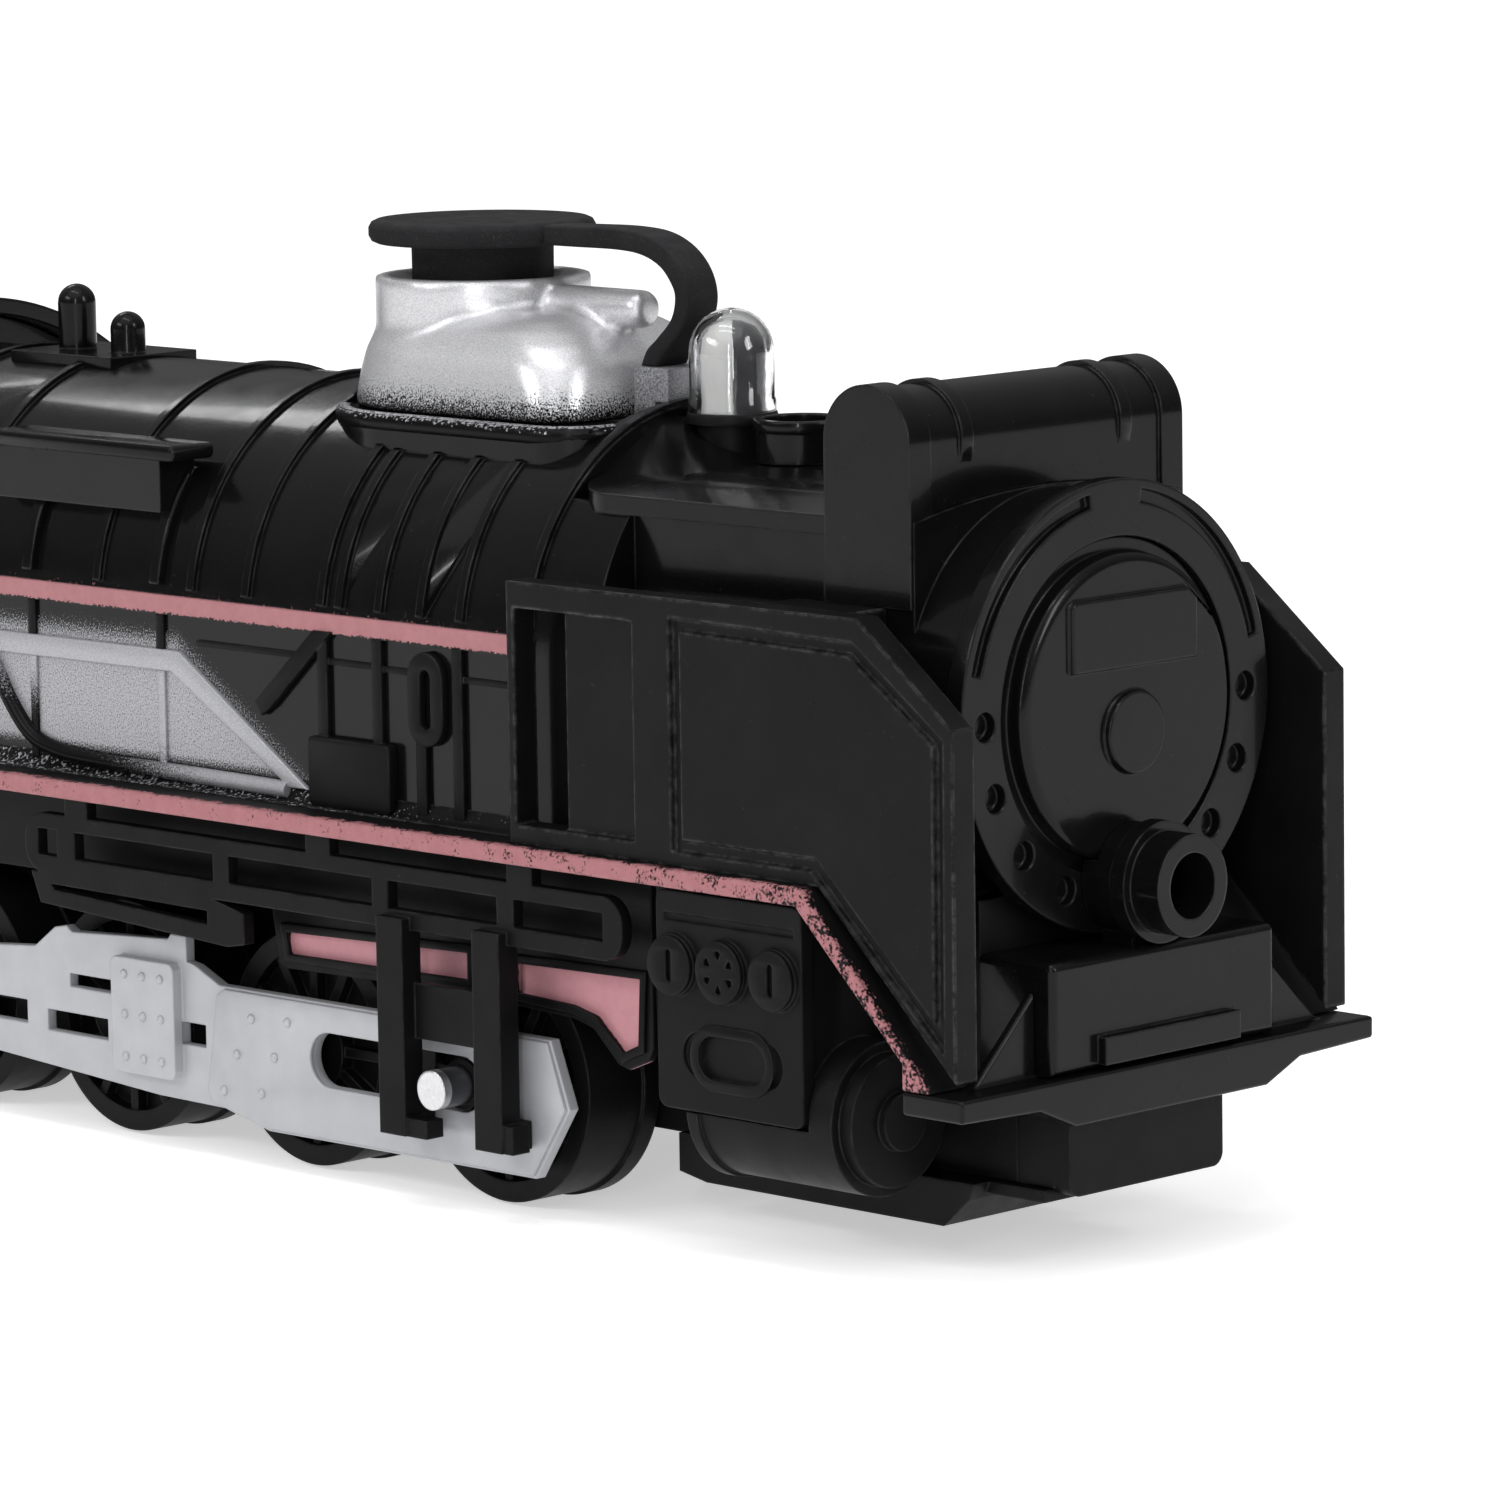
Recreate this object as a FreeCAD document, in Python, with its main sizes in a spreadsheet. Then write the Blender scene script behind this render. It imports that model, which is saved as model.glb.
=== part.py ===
import FreeCAD, Part
import math
import os
import Sketcher

# Toy steam locomotive with eight driving wheels, in millimetres.
# +X points forward, +Y to the locomotive's left, +Z up.
# The origin is on the floor, under the middle of the whole model.

document = FreeCAD.newDocument("ToyLocomotive")
sheet = document.addObject("Spreadsheet::Sheet", "Dims")

# Driving dimensions: one cell each, named by its alias.
DIMENSIONS = {
    # whole model
    "front_end": 105.0,
    "rear_end": -105.0,
    "half_width": 25.0,
    "fit_gap": 0.05,
    # wheels and axles
    "wheel_radius": 10.7,
    "tread_radius": 10.4,
    "wheel_inner_face": 10.0,
    "wheel_outer_face": 18.0,
    "flange_width": 1.8,
    "front_axle_at": 42.9,
    "axle_spacing": 24.3,
    "axle_radius": 1.5,
    "crank_throw": 1.6,
    "crank_pin_radius": 1.7,
    "crank_boss_radius": 2.2,
    # side rods
    "rod_inner_face": 19.9,
    "rod_outer_face": 21.0,
    # running boards
    "board_top": 32.6,
    "board_thickness": 1.6,
    "board_inner_edge": 18.4,
    "board_corner": 85.2,
    # boiler
    "boiler_radius": 20.0,
    "boiler_axis_height": 47.4,
    "boiler_wall": 1.6,
    "boiler_front": 49.4,
    "boiler_rear": -51.0,
    "band_height": 0.45,
    "band_width": 0.9,
    # smokebox
    "smokebox_axis_height": 45.6,
    "smokebox_radius": 17.4,
    "smokebox_bore": 14.6,
    "casing_half_width": 16.0,
    "casing_set_back": 0.8,
    "casing_lip": 59.8,
    "cheek_length": 7.6,
    "casing_top": 63.2,
    "casing_crown_radius": 72.0,
    "casing_shoulder": 61.4,
    "ring_front": 97.05,
    "ring_rear": 95.3,
    "ring_radius": 18.5,
    "door_radius": 12.6,
    # front end
    "beam_front": 102.8,
    "beam_rear": 99.2,
    "box_half_width": 13.55,
    "box_front": 102.0,
    "box_rear": 94.0,
    "box_bottom": 17.5,
    "box_top": 26.7,
    "lamp_tube_height": 31.7,
    # smoke deflectors
    "deflector_outer": 23.7,
    "deflector_inner": 21.1,
    "deflector_front": 100.9,
    "deflector_rear": 50.2,
    "deflector_top": 54.6,
    # cylinders
    "cylinder_height": 12.9,
    "cylinder_offset": 17.2,
    "cylinder_radius": 6.4,
    "cover_face": 24.0,
    # dome, plug and chimney
    "dome_at": 23.1,
    "dome_neck_radius": 9.4,
    "dome_bore": 7.8,
    "neck_hole_radius": 9.1,
    "dome_rim": 77.5,
    "dome_foot": 65.9,
    "plug_top": 82.0,
    "plug_radius": 9.9,
    "plug_disc": 2.0,
    "plug_stem_radius": 6.2,
    "lamp_at": 53.5,
    "lamp_radius": 3.75,
    "lamp_top": 75.7,
    "chimney_at": 61.6,
    "chimney_radius": 4.05,
    "chimney_rim": 66.9,
    "heater_at": 84.9,
    "heater_radius": 4.8,
    "heater_half_width": 16.4,
    "heater_top": 72.3,
    # cab
    "cab_front": -50.0,
    "cab_rear": -88.0,
    "cab_half_width": 22.0,
    "cab_wall": 1.5,
    "roof_radius": 30.0,
    "roof_crown": 71.5,
    # chassis and drive
    "frame_inner": 7.4,
    "frame_outer": 9.2,
    "gear_module": 0.8,
    "cell_radius": 7.1,
    "cell_length": 50.0,
    # body screws
    "rear_screw_at": -25.0,
    "front_screw_at": 9.0,
    "screw_offset": 13.0,
    "screw_radius": 1.1,
    # trailing truck
    "truck_wheel_radius": 5.5,
    "truck_axle_at": -68.0,
    "truck_pivot_at": -46.0,
}

for row, (alias, value) in enumerate(DIMENSIONS.items(), start=1):
    sheet.set(f"A{row}", alias)
    sheet.set(f"B{row}", str(value))
    sheet.setAlias(f"B{row}", alias)
document.recompute()


class Size:
    """A number that also carries the sheet expression it comes from."""

    def __init__(self, value, text=None):
        self.value = float(value)
        self.text = text if text is not None else f"({value:.6g})"

    @staticmethod
    def of(other):
        return other if isinstance(other, Size) else Size(other)

    def _join(self, other, sign, value):
        other = Size.of(other)
        return Size(value(self.value, other.value), f"({self.text} {sign} {other.text})")

    def __add__(self, other):
        return self._join(other, "+", lambda a, b: a + b)

    def __sub__(self, other):
        return self._join(other, "-", lambda a, b: a - b)

    def __mul__(self, other):
        return self._join(other, "*", lambda a, b: a * b)

    def __truediv__(self, other):
        return self._join(other, "/", lambda a, b: a / b)

    def __radd__(self, other):
        return Size.of(other) + self

    def __rsub__(self, other):
        return Size.of(other) - self

    def __rmul__(self, other):
        return Size.of(other) * self

    def __neg__(self):
        return Size.of(0) - self


class Cells:
    """Reads a cell of the sheet as a Size: cells.wheel_radius."""

    def __getattr__(self, alias):
        return Size(sheet.get(alias), f"Dims.{alias}")


cells = Cells()
SIDES = {"right": -1, "left": 1}
AXES = {"X": FreeCAD.Vector(1, 0, 0), "Y": FreeCAD.Vector(0, 1, 0), "Z": FreeCAD.Vector(0, 0, 1)}
ALONG = {
    "X": FreeCAD.Rotation(AXES["Y"], 90),
    "Y": FreeCAD.Rotation(AXES["X"], -90),
    "Z": FreeCAD.Rotation(),
}
parts = {}


def part(name, thing):
    """Names a finished sub-part; its label is also its file name."""
    thing.Label = name
    parts[name] = thing
    return thing


def bind(thing, prop, size):
    if isinstance(size, Size):
        thing.setExpression(prop, size.text)
    else:
        setattr(thing, prop, size)


def place(thing, x, y, z, rotation=None):
    thing.Placement = FreeCAD.Placement(FreeCAD.Vector(), rotation or FreeCAD.Rotation())
    for letter, size in (("x", x), ("y", y), ("z", z)):
        thing.setExpression(f"Placement.Base.{letter}", Size.of(size).text)


def box(x, y, z):
    """A block between two planes on each axis: x, y and z are (low, high) pairs."""
    block = document.addObject("Part::Box", "Block")
    for prop, (low, high) in (("Length", x), ("Width", y), ("Height", z)):
        bind(block, prop, Size.of(high) - low)
    place(block, x[0], y[0], z[0])
    return block


def rod(axis, centre, span, radius):
    """A cylinder along an axis; centre gives the other two coordinates in X, Y, Z order."""
    bar = document.addObject("Part::Cylinder", "Bar")
    bind(bar, "Radius", Size.of(radius))
    bind(bar, "Height", Size.of(span[1]) - span[0])
    where = list(centre)
    where.insert("XYZ".index(axis), span[0])
    place(bar, where[0], where[1], where[2], ALONG[axis])
    return bar


def taper(axis, centre, span, radii):
    """A cone between two radii along an axis."""
    cone = document.addObject("Part::Cone", "Taper")
    bind(cone, "Radius1", Size.of(radii[0]))
    bind(cone, "Radius2", Size.of(radii[1]))
    bind(cone, "Height", Size.of(span[1]) - span[0])
    where = list(centre)
    where.insert("XYZ".index(axis), span[0])
    place(cone, where[0], where[1], where[2], ALONG[axis])
    return cone


def ball(x, y, z, radius):
    sphere = document.addObject("Part::Sphere", "Ball")
    bind(sphere, "Radius", Size.of(radius))
    place(sphere, x, y, z)
    return sphere


def fuse(*things):
    joined = document.addObject("Part::MultiFuse", "Fuse")
    joined.Shapes = list(things)
    return joined


def cut(base, *tools):
    result = document.addObject("Part::Cut", "Cut")
    result.Base = base
    result.Tool = tools[0] if len(tools) == 1 else fuse(*tools)
    return result


def common(first, second):
    result = document.addObject("Part::Common", "Common")
    result.Base = first
    result.Tool = second
    return result


def group(*things):
    """Separate solids that are kept in one sub-part."""
    compound = document.addObject("Part::Compound", "Group")
    compound.Links = list(things)
    return compound


def rounded(thing, radius, keep):
    """Rounds the straight edges that keep(middle, direction) picks."""
    document.recompute()
    fillet = document.addObject("Part::Fillet", "Rounded")
    fillet.Base = thing
    chosen = []
    for number, edge in enumerate(thing.Shape.Edges, start=1):
        if not isinstance(edge.Curve, Part.Line):
            continue
        if keep(edge.CenterOfMass, edge.Curve.Direction):
            chosen.append((number, radius, radius))
    fillet.Edges = chosen
    return fillet


def fix_point(sketch, index, end, x, y):
    """Ties one point of a sketch to the sheet."""
    for kind, size in (("DistanceX", x), ("DistanceY", y)):
        size = Size.of(size)
        value = size.value
        number = sketch.addConstraint(Sketcher.Constraint(kind, -1, 1, index, end, value))
        sketch.setExpression(f"Constraints[{number}]", size.text)


def draw_loop(sketch, points):
    """Draws a closed outline of straight lines."""
    first = sketch.GeometryCount
    count = len(points)
    ends = [FreeCAD.Vector(Size.of(x).value, Size.of(y).value, 0) for x, y in points]
    for number in range(count):
        sketch.addGeometry(Part.LineSegment(ends[number], ends[(number + 1) % count]), False)
    for number in range(count):
        following = first + (number + 1) % count
        sketch.addConstraint(Sketcher.Constraint("Coincident", first + number, 2, following, 1))
    for number, (x, y) in enumerate(points):
        fix_point(sketch, first + number, 1, x, y)


def draw_circle(sketch, x, y, radius):
    """Draws a round hole."""
    radius = Size.of(radius)
    centre = FreeCAD.Vector(Size.of(x).value, Size.of(y).value, 0)
    index = sketch.addGeometry(Part.Circle(centre, AXES["Z"], radius.value), False)
    fix_point(sketch, index, 3, x, y)
    number = sketch.addConstraint(Sketcher.Constraint("Radius", index, radius.value))
    sketch.setExpression(f"Constraints[{number}]", radius.text)


PLANES = {"XY": ("XY_Plane", 1), "XZ": ("XZ_Plane", -1), "YZ": ("YZ_Plane", 1)}


def slab(plane, outline, span, holes=(), circles=()):
    """A flat piece: an outline on a plane, padded from span[0] to span[1] along its normal."""
    body = document.addObject("PartDesign::Body", "Slab")
    sketch = body.newObject("Sketcher::SketchObject", "Outline")
    role, normal = PLANES[plane]
    origin_planes = [feature for feature in body.Origin.OriginFeatures if feature.Role == role]
    sketch.AttachmentSupport = [(origin_planes[0], "")]
    sketch.MapMode = "FlatFace"
    start = span[0] if normal > 0 else -Size.of(span[1])
    sketch.setExpression("AttachmentOffset.Base.z", Size.of(start).text)
    draw_loop(sketch, outline)
    for hole in holes:
        draw_loop(sketch, hole)
    for circle in circles:
        draw_circle(sketch, *circle)
    pad = body.newObject("PartDesign::Pad", "Pad")
    pad.Profile = sketch
    bind(pad, "Length", Size.of(span[1]) - span[0])
    return body


def rectangle(x, y):
    return [(x[0], y[0]), (x[1], y[0]), (x[1], y[1]), (x[0], y[1])]


def outward(side, near, far):
    """The Y span of something between two distances from the middle, on one side."""
    if side > 0:
        return (Size.of(near), Size.of(far))
    return (-Size.of(far), -Size.of(near))


def arch(radius, x, axis_height, bottom, half_width=None):
    """A half round on straight walls, lying along X."""
    radius = Size.of(radius)
    width = radius if half_width is None else Size.of(half_width)
    whole = rod("X", (0, axis_height), x, radius)
    if Size.of(bottom).value < Size.of(axis_height).value:
        whole = fuse(whole, box(x, (-radius, radius), (bottom, axis_height)))
    keep = box((Size.of(x[0]) - 1, Size.of(x[1]) + 1), (-width, width),
               (bottom, Size.of(axis_height) + radius + 1))
    return common(whole, keep)


# ---------------------------------------------------------------- boiler and smokebox

def screw_places():
    """Where the four body screws stand, in X and Y."""
    return [(x, side * cells.screw_offset) for x in (cells.rear_screw_at, cells.front_screw_at)
            for side in SIDES.values()]


def dome_footprint(radius, far, z, corner):
    """Half round at the rear, square with rounded corners at the front, seen from above."""
    radius = Size.of(radius)
    front = rounded(box((cells.dome_at, far), (-radius, radius), z), corner,
                    lambda middle, direction: abs(direction.z) > 0.99 and middle.x > 46)
    return fuse(rod("Z", (cells.dome_at, 0), z, radius), front)


def boiler_shell():
    """The hollow boiler moulding with its raised bands, screw posts, and openings for dome and tank."""
    axis = cells.boiler_axis_height
    bottom = cells.board_top
    ends = (cells.boiler_rear, cells.boiler_front)
    shell = [arch(cells.boiler_radius, ends, axis, bottom)]
    band_radius = cells.boiler_radius + cells.band_height
    for band in (-38.0, -25.6, -6.5, 6.0, 13.2, 22.9, 48.4):
        shell.append(arch(band_radius, (Size.of(band), band + cells.band_width), axis, 50.0))
    for rib in (25.2, 30.2, 35.4, 40.3):
        whole_rib = arch(band_radius, (Size.of(rib), rib + cells.band_width), axis, 50.0)
        shell.append(common(whole_rib, box((rib - 1, rib + 3), (-21, 21), (50, 63))))
    end_wall = cells.boiler_front - cells.boiler_wall
    inner_radius = cells.boiler_radius - cells.boiler_wall
    inner = arch(inner_radius, (cells.boiler_rear - 1, end_wall), axis, bottom - 1)
    duct = rod("X", (0, cells.smokebox_axis_height), (end_wall - 1, cells.boiler_front + 1),
               cells.smokebox_bore)
    opening = dome_footprint(11.6, 46.8, (58, 70), 3.5)
    for side in SIDES.values():
        shell.append(box((-19.9, 2.1), outward(side, 15.5, 19.6), (56.5, 61.8)))
        shell.append(box((cells.cab_front + 0.1, cells.boiler_front),
                         outward(side, cells.boiler_radius - 0.5, cells.boiler_radius + 0.4), (47.7, 49.4)))
    deck = cells.board_top - cells.board_thickness
    posts = [cut(rod("Z", at, (deck + 0.05, 59.5), 2.4),
                 rod("Z", at, (30, 42.0), cells.screw_radius + cells.fit_gap)) for at in screw_places()]
    return fuse(cut(cut(fuse(*shell), inner, opening), duct), *posts)


def body_screws():
    """Four long screws from under the deck into the boiler's posts, with cross recesses."""
    deck = cells.board_top - cells.board_thickness - 1.6
    screws = []
    for x, y in screw_places():
        head = taper("Z", (x, y), (deck - 1.5, deck), (2.2, 2.7))
        shank = rod("Z", (x, y), (deck - 0.1, 40.5), cells.screw_radius)
        slots = [box((x - long, x + long), (y - wide, y + wide), (deck - 2, deck - 0.8))
                 for long, wide in ((1.5, 0.3), (0.3, 1.5))]
        screws.append(cut(fuse(head, shank), *slots))
    return group(*screws)


def casing_crown(x, bottom, corner=0):
    """The space inside the casing's flat sides and crowned top, with its rear corners rounded."""
    width = cells.casing_half_width
    crown = cells.casing_crown_radius
    block = box(x, (-width, width), (bottom, cells.casing_top + 1))
    if corner:
        rear = Size.of(x[0]).value
        block = rounded(block, corner,
                        lambda middle, direction: abs(direction.z) > 0.99 and middle.x < rear + 1)
    return common(block, rod("X", (0, cells.casing_top - crown), (x[0] - 1, x[1] + 1), crown))


def smokebox_casing():
    """Flat-sided casing with a lip below its crowned top, cheeks that carry the boiler's round, and a drum."""
    rear = cells.boiler_front
    front = cells.heater_at + cells.heater_radius
    bottom = cells.board_top - cells.board_thickness
    lip = cells.casing_lip
    set_back = cells.casing_set_back
    width = cells.casing_half_width - set_back
    recess_end = cells.heater_at - cells.heater_radius - 0.5
    wall = rounded(box((rear + set_back, recess_end + 1), (-width, width), (30, lip + 1)), 4.2,
                   lambda middle, direction: abs(direction.z) > 0.99 and middle.x < 60)
    recess = cut(box((rear - 1, recess_end), (-17, 17), (cells.board_top + 0.6, lip)), wall)
    casing = cut(casing_crown((rear, front), bottom, corner=5.0), recess)
    drum = rod("X", (0, cells.smokebox_axis_height), (rear + 8, cells.ring_rear), cells.smokebox_radius)
    top = cells.casing_top
    ramp = slab("XZ", [(rear, top - 2), (rear + 9, top - 2), (rear + 9, top - 0.4), (rear, top + 3.2)],
                (-13, 13))
    hips = slab("YZ", [(-13, top - 2), (13, top - 2), (4.5, top + 3.3), (-4.5, top + 3.3)], (rear, rear + 9))
    slope = common(ramp, hips)
    cheeks = cut(arch(cells.boiler_radius, (rear, rear + cells.cheek_length), cells.boiler_axis_height,
                      cells.board_top + 0.6),
                 box((rear - 1, rear + cells.cheek_length + 1), (-15.0, 15.0), (30, 70)))
    bore = rod("X", (0, cells.smokebox_axis_height), (rear - 1, cells.ring_rear + 1), cells.smokebox_bore)
    lamp_hole = rod("Z", (cells.lamp_at, 0), (55, 66.5), 3.2)
    lamp_seat = rod("Z", (cells.lamp_at, 0), (65.9, 72), cells.lamp_radius + 0.4)
    chimney_hole = rod("Z", (cells.chimney_at, 0), (55, 72), 3.2)
    below = box((rear - 1, cells.ring_rear + 1), (-20, 20), (20, bottom))
    shell = cut(cut(fuse(casing, drum, slope, cheeks), below), bore)
    return cut(cut(shell, lamp_hole), lamp_seat, chimney_hole)


def smokebox_ring():
    """Front ring with eight bolt recesses below and two curved recesses near the top."""
    height = cells.smokebox_axis_height
    span = (cells.ring_rear, cells.ring_front)
    ring = rod("X", (0, height), span, cells.ring_radius)
    tools = [rod("X", (0, height), (cells.ring_rear - 1, cells.ring_front + 1), cells.door_radius + 1.2)]
    bolt_circle = 15.7
    for side in SIDES.values():
        for angle in (0, -22, -44, -66):
            across = side * bolt_circle * math.cos(math.radians(angle))
            up = bolt_circle * math.sin(math.radians(angle))
            bolt_span = (cells.ring_front - 1.0, cells.ring_front + 1)
            tools.append(rod("X", (across, height + up), bolt_span, 1.15))
    for turn in (14, 100):
        sector = document.addObject("Part::Cylinder", "Sector")
        bind(sector, "Radius", cells.ring_radius - 0.8)
        bind(sector, "Height", Size.of(2))
        sector.Angle = 66
        spin = FreeCAD.Rotation(AXES["X"], turn) * FreeCAD.Rotation(FreeCAD.Vector(1, 1, 1), 120)
        place(sector, cells.ring_front - 0.7, 0, height, spin)
        core = rod("X", (0, height), (cells.ring_front - 2, cells.ring_front + 3), cells.ring_radius - 1.9)
        tools.append(cut(sector, core))
    return cut(ring, *tools)


def smokebox_door():
    """Raised disc with a tapered edge and a plain plate across its upper half."""
    height = cells.smokebox_axis_height
    back = cells.ring_front - 1.6
    face = cells.ring_front + 1.3
    seat = rod("X", (0, height), (back, cells.ring_front - 0.6), cells.door_radius + 1.2)
    disc = rod("X", (0, height), (cells.ring_front - 0.6, face - 0.6), cells.door_radius)
    edge = taper("X", (0, height), (face - 0.6, face), (cells.door_radius, cells.door_radius - 0.8))
    plate = common(rod("X", (0, height), (face, face + 0.5), cells.door_radius - 1.2),
                   box((90, 105), (-7.2, 7.8), (height + 3.4, height + 9.2)))
    badge = rod("X", (0.3, height - 2.0), (face, face + 0.6), 3.4)
    return fuse(seat, disc, edge, plate, badge)


def front_lamp():
    """Stepped tube below the smokebox door."""
    height = cells.lamp_tube_height
    face = cells.front_end
    steps = [rod("X", (0, height), (face - 3.2, face), 4.2),
             rod("X", (0, height), (face - 4.6, face - 3.0), 5.0),
             rod("X", (0, height), (cells.ring_front + 0.1, face - 4.4), 4.6)]
    foot = box((cells.ring_front + 0.1, face - 4.6), (-2.2, 2.2), (cells.box_top, height))
    door = rod("X", (0, cells.smokebox_axis_height), (cells.ring_front - 1, cells.ring_front + 1.4),
               cells.door_radius + 0.1)
    return cut(fuse(*steps, foot), rod("X", (0, height), (face - 6.0, face + 1), 2.7), door)


def chimney():
    """Short open cup."""
    at = (cells.chimney_at, 0)
    base = cells.casing_top
    outer = fuse(rod("Z", at, (base, cells.chimney_rim - 0.8), cells.chimney_radius - 0.25),
                 rod("Z", at, (cells.chimney_rim - 1.0, cells.chimney_rim), cells.chimney_radius),
                 rod("Z", at, (57.6, base + 0.1), 3.1))
    return cut(outer, rod("Z", at, (base + 0.8, cells.chimney_rim + 1), cells.chimney_radius - 0.8),
               rod("Z", at, (50, cells.chimney_rim), 1.6))


def feedwater_heater():
    """Transverse drum in a saddle across the smokebox, ahead of the chimney."""
    radius = cells.heater_radius
    x = (cells.heater_at - radius, cells.heater_at + radius)
    axis = cells.heater_top - radius
    half = cells.heater_half_width
    pieces = [rod("Y", (cells.heater_at, axis), (-half, half), radius - 0.35)]
    for side in SIDES.values():
        pieces.append(rod("Y", (cells.heater_at, axis), outward(side, half - 2.6, half), radius))
        pieces.append(rod("Y", (cells.heater_at, axis), outward(side, half - 7.6, half - 6.2), radius))
        pieces.append(box(x, outward(side, half - 2.6, half), (54.4, axis)))
    saddle = box((x[0] + 0.35, x[1] - 0.35), (-half + 0.5, half - 0.5), (cells.casing_top - 3, axis))
    return cut(fuse(*pieces, saddle), casing_crown((x[0] - 1, x[1] + 1), 50))


def safety_valves():
    """Two pegs on a small plate behind the dome."""
    top = cells.boiler_axis_height + cells.boiler_radius
    pegs = []
    for at, radius, height in ((-31.6, 1.75, 6.2), (-24.5, 1.6, 4.0)):
        pegs.append(rod("Z", (at, 0), (top - 1, top + height - radius), radius))
        pegs.append(ball(at, 0, top + height - radius, radius))
    plate = box((-35.0, -21.0), (-5.2, 5.2), (top - 1.2, top + 0.3))
    boiler = rod("X", (0, cells.boiler_axis_height), (-60, 0), cells.boiler_radius)
    bands = [rod("X", (0, cells.boiler_axis_height), (Size.of(-25.6), -25.6 + cells.band_width),
                 cells.boiler_radius + cells.band_height)]
    return cut(fuse(plate, *pegs), boiler, *bands)


# ---------------------------------------------------------------- dome, plug and lamp

def dome_base():
    """Black collar that seats the silver dome on the boiler and plugs the opening in its top."""
    collar = dome_footprint(12.8, 47.2, (60.5, cells.dome_foot), 4.5)
    lining = dome_footprint(11.5, 46.7, (61.6, cells.dome_foot), 3.4)
    neck_hole = rod("Z", (cells.dome_at, 0), (58, 70), cells.neck_hole_radius)
    boiler = rod("X", (0, cells.boiler_axis_height), (0, cells.boiler_front), cells.boiler_radius)
    bands = [rod("X", (0, cells.boiler_axis_height), (Size.of(at), at + cells.band_width),
                 cells.boiler_radius + cells.band_height) for at in (6.0, 13.2, 22.9)]
    ribs = [box((at - 0.1, at + 1.0), (-14, 14), (58, 63.1)) for at in (25.2, 30.2, 35.4, 40.3)]
    anchor = fuse(box((44.2, 46.7), (-2.5, 2.5), (cells.dome_foot - 0.1, 70.4)),
                  box((46.6, 48.3), (-2.5, 2.5), (67.5, 70.4)))
    return fuse(cut(fuse(cut(collar, boiler, *bands, *ribs), lining), neck_hole), anchor)


def steam_dome():
    """Silver dome: a filler neck at the back that runs down into a low hump."""
    foot = cells.dome_foot
    neck = rod("Z", (cells.dome_at, 0), (foot, cells.dome_rim), cells.dome_neck_radius)
    skirt = taper("Z", (cells.dome_at, 0), (foot, foot + 6.0), (11.2, cells.dome_neck_radius))
    hump = document.addObject("Part::Wedge", "Hump")
    corners = {"Xmin": 0, "Xmax": 22.2, "X2min": 0, "X2max": 16.5, "Zmin": 0, "Zmax": 22.0,
               "Z2min": 4.5, "Z2max": 17.5, "Ymin": 0, "Ymax": 8.8}
    for prop, value in corners.items():
        setattr(hump, prop, value)
    place(hump, cells.dome_at - 1.6, 11.0, foot, FreeCAD.Rotation(AXES["X"], 90))
    pipe = rod("X", (0, 75.2), (30, 43.6), 1.25)
    bore = rod("Z", (cells.dome_at, 0), (foot - 1, cells.dome_rim + 1), cells.dome_bore)
    return cut(fuse(neck, skirt, hump, pipe), bore)


def filler_plug():
    """Rubber plug standing a little out of the filler neck."""
    at = (cells.dome_at, 0)
    under = cells.plug_top - cells.plug_disc
    disc = rod("Z", at, (under, cells.plug_top), cells.plug_radius)
    stem = rod("Z", at, (cells.dome_rim - 5.5, under), cells.plug_stem_radius)
    lip = rod("Z", at, (cells.dome_rim - 4.4, cells.dome_rim - 3.0), cells.plug_stem_radius + 0.6)
    return fuse(disc, stem, lip)


def plug_strap():
    """Rubber strap from the plug's rim down to the front of the dome's base."""
    outer = [(33.2, 82.0), (42.6, 82.0), (45.4, 81.6), (47.8, 80.5), (49.6, 78.6), (50.3, 76.6),
             (50.0, 74.2), (48.4, 70.4)]
    inner = [(44.2, 70.4), (46.0, 74.6), (46.3, 76.8), (45.3, 78.6), (43.4, 79.7), (41.0, 80.0),
             (33.2, 80.0)]
    outline = outer + inner
    return slab("XZ", outline, (-1.9, 1.9))


def lamp_lens():
    """Clear hollow lamp dome."""
    at = (cells.lamp_at, 0)
    top = cells.lamp_top
    radius = cells.lamp_radius
    shoulder = top - radius
    outer = fuse(rod("Z", at, (67.0, shoulder), radius), ball(cells.lamp_at, 0, shoulder, radius))
    inside = radius - 0.7
    inner = fuse(rod("Z", at, (66.0, shoulder), inside), ball(cells.lamp_at, 0, shoulder, inside))
    return cut(outer, inner)


def lamp_holder():
    """Seat of the lamp with its light emitter."""
    at = (cells.lamp_at, 0)
    return fuse(rod("Z", at, (57.5, 66.0), 3.1), rod("Z", at, (66.0, 67.0), cells.lamp_radius + 0.2),
                rod("Z", at, (67.0, 70.2), 1.5), ball(cells.lamp_at, 0, 70.2, 1.5))


# ---------------------------------------------------------------- front end

def buffer_box():
    """Hollow box on the front beam with a raised bar."""
    x = (cells.box_rear, cells.box_front)
    half = cells.box_half_width
    block = rounded(box(x, (-half, half), (cells.box_bottom, cells.box_top)), 0.7,
                    lambda middle, direction: middle.x > 101.9 or abs(direction.x) > 0.99 and middle.z > 26)
    hollow = box((x[0] - 1, x[1] - 1.6), (-half + 1.6, half - 1.6),
                 (cells.box_bottom - 1, cells.box_top - 1.4))
    bar = box((x[1] - 0.1, x[1] + 0.9), (-8.2, 8.2), (17.9, 20.2))
    return fuse(cut(block, hollow), bar)


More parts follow.
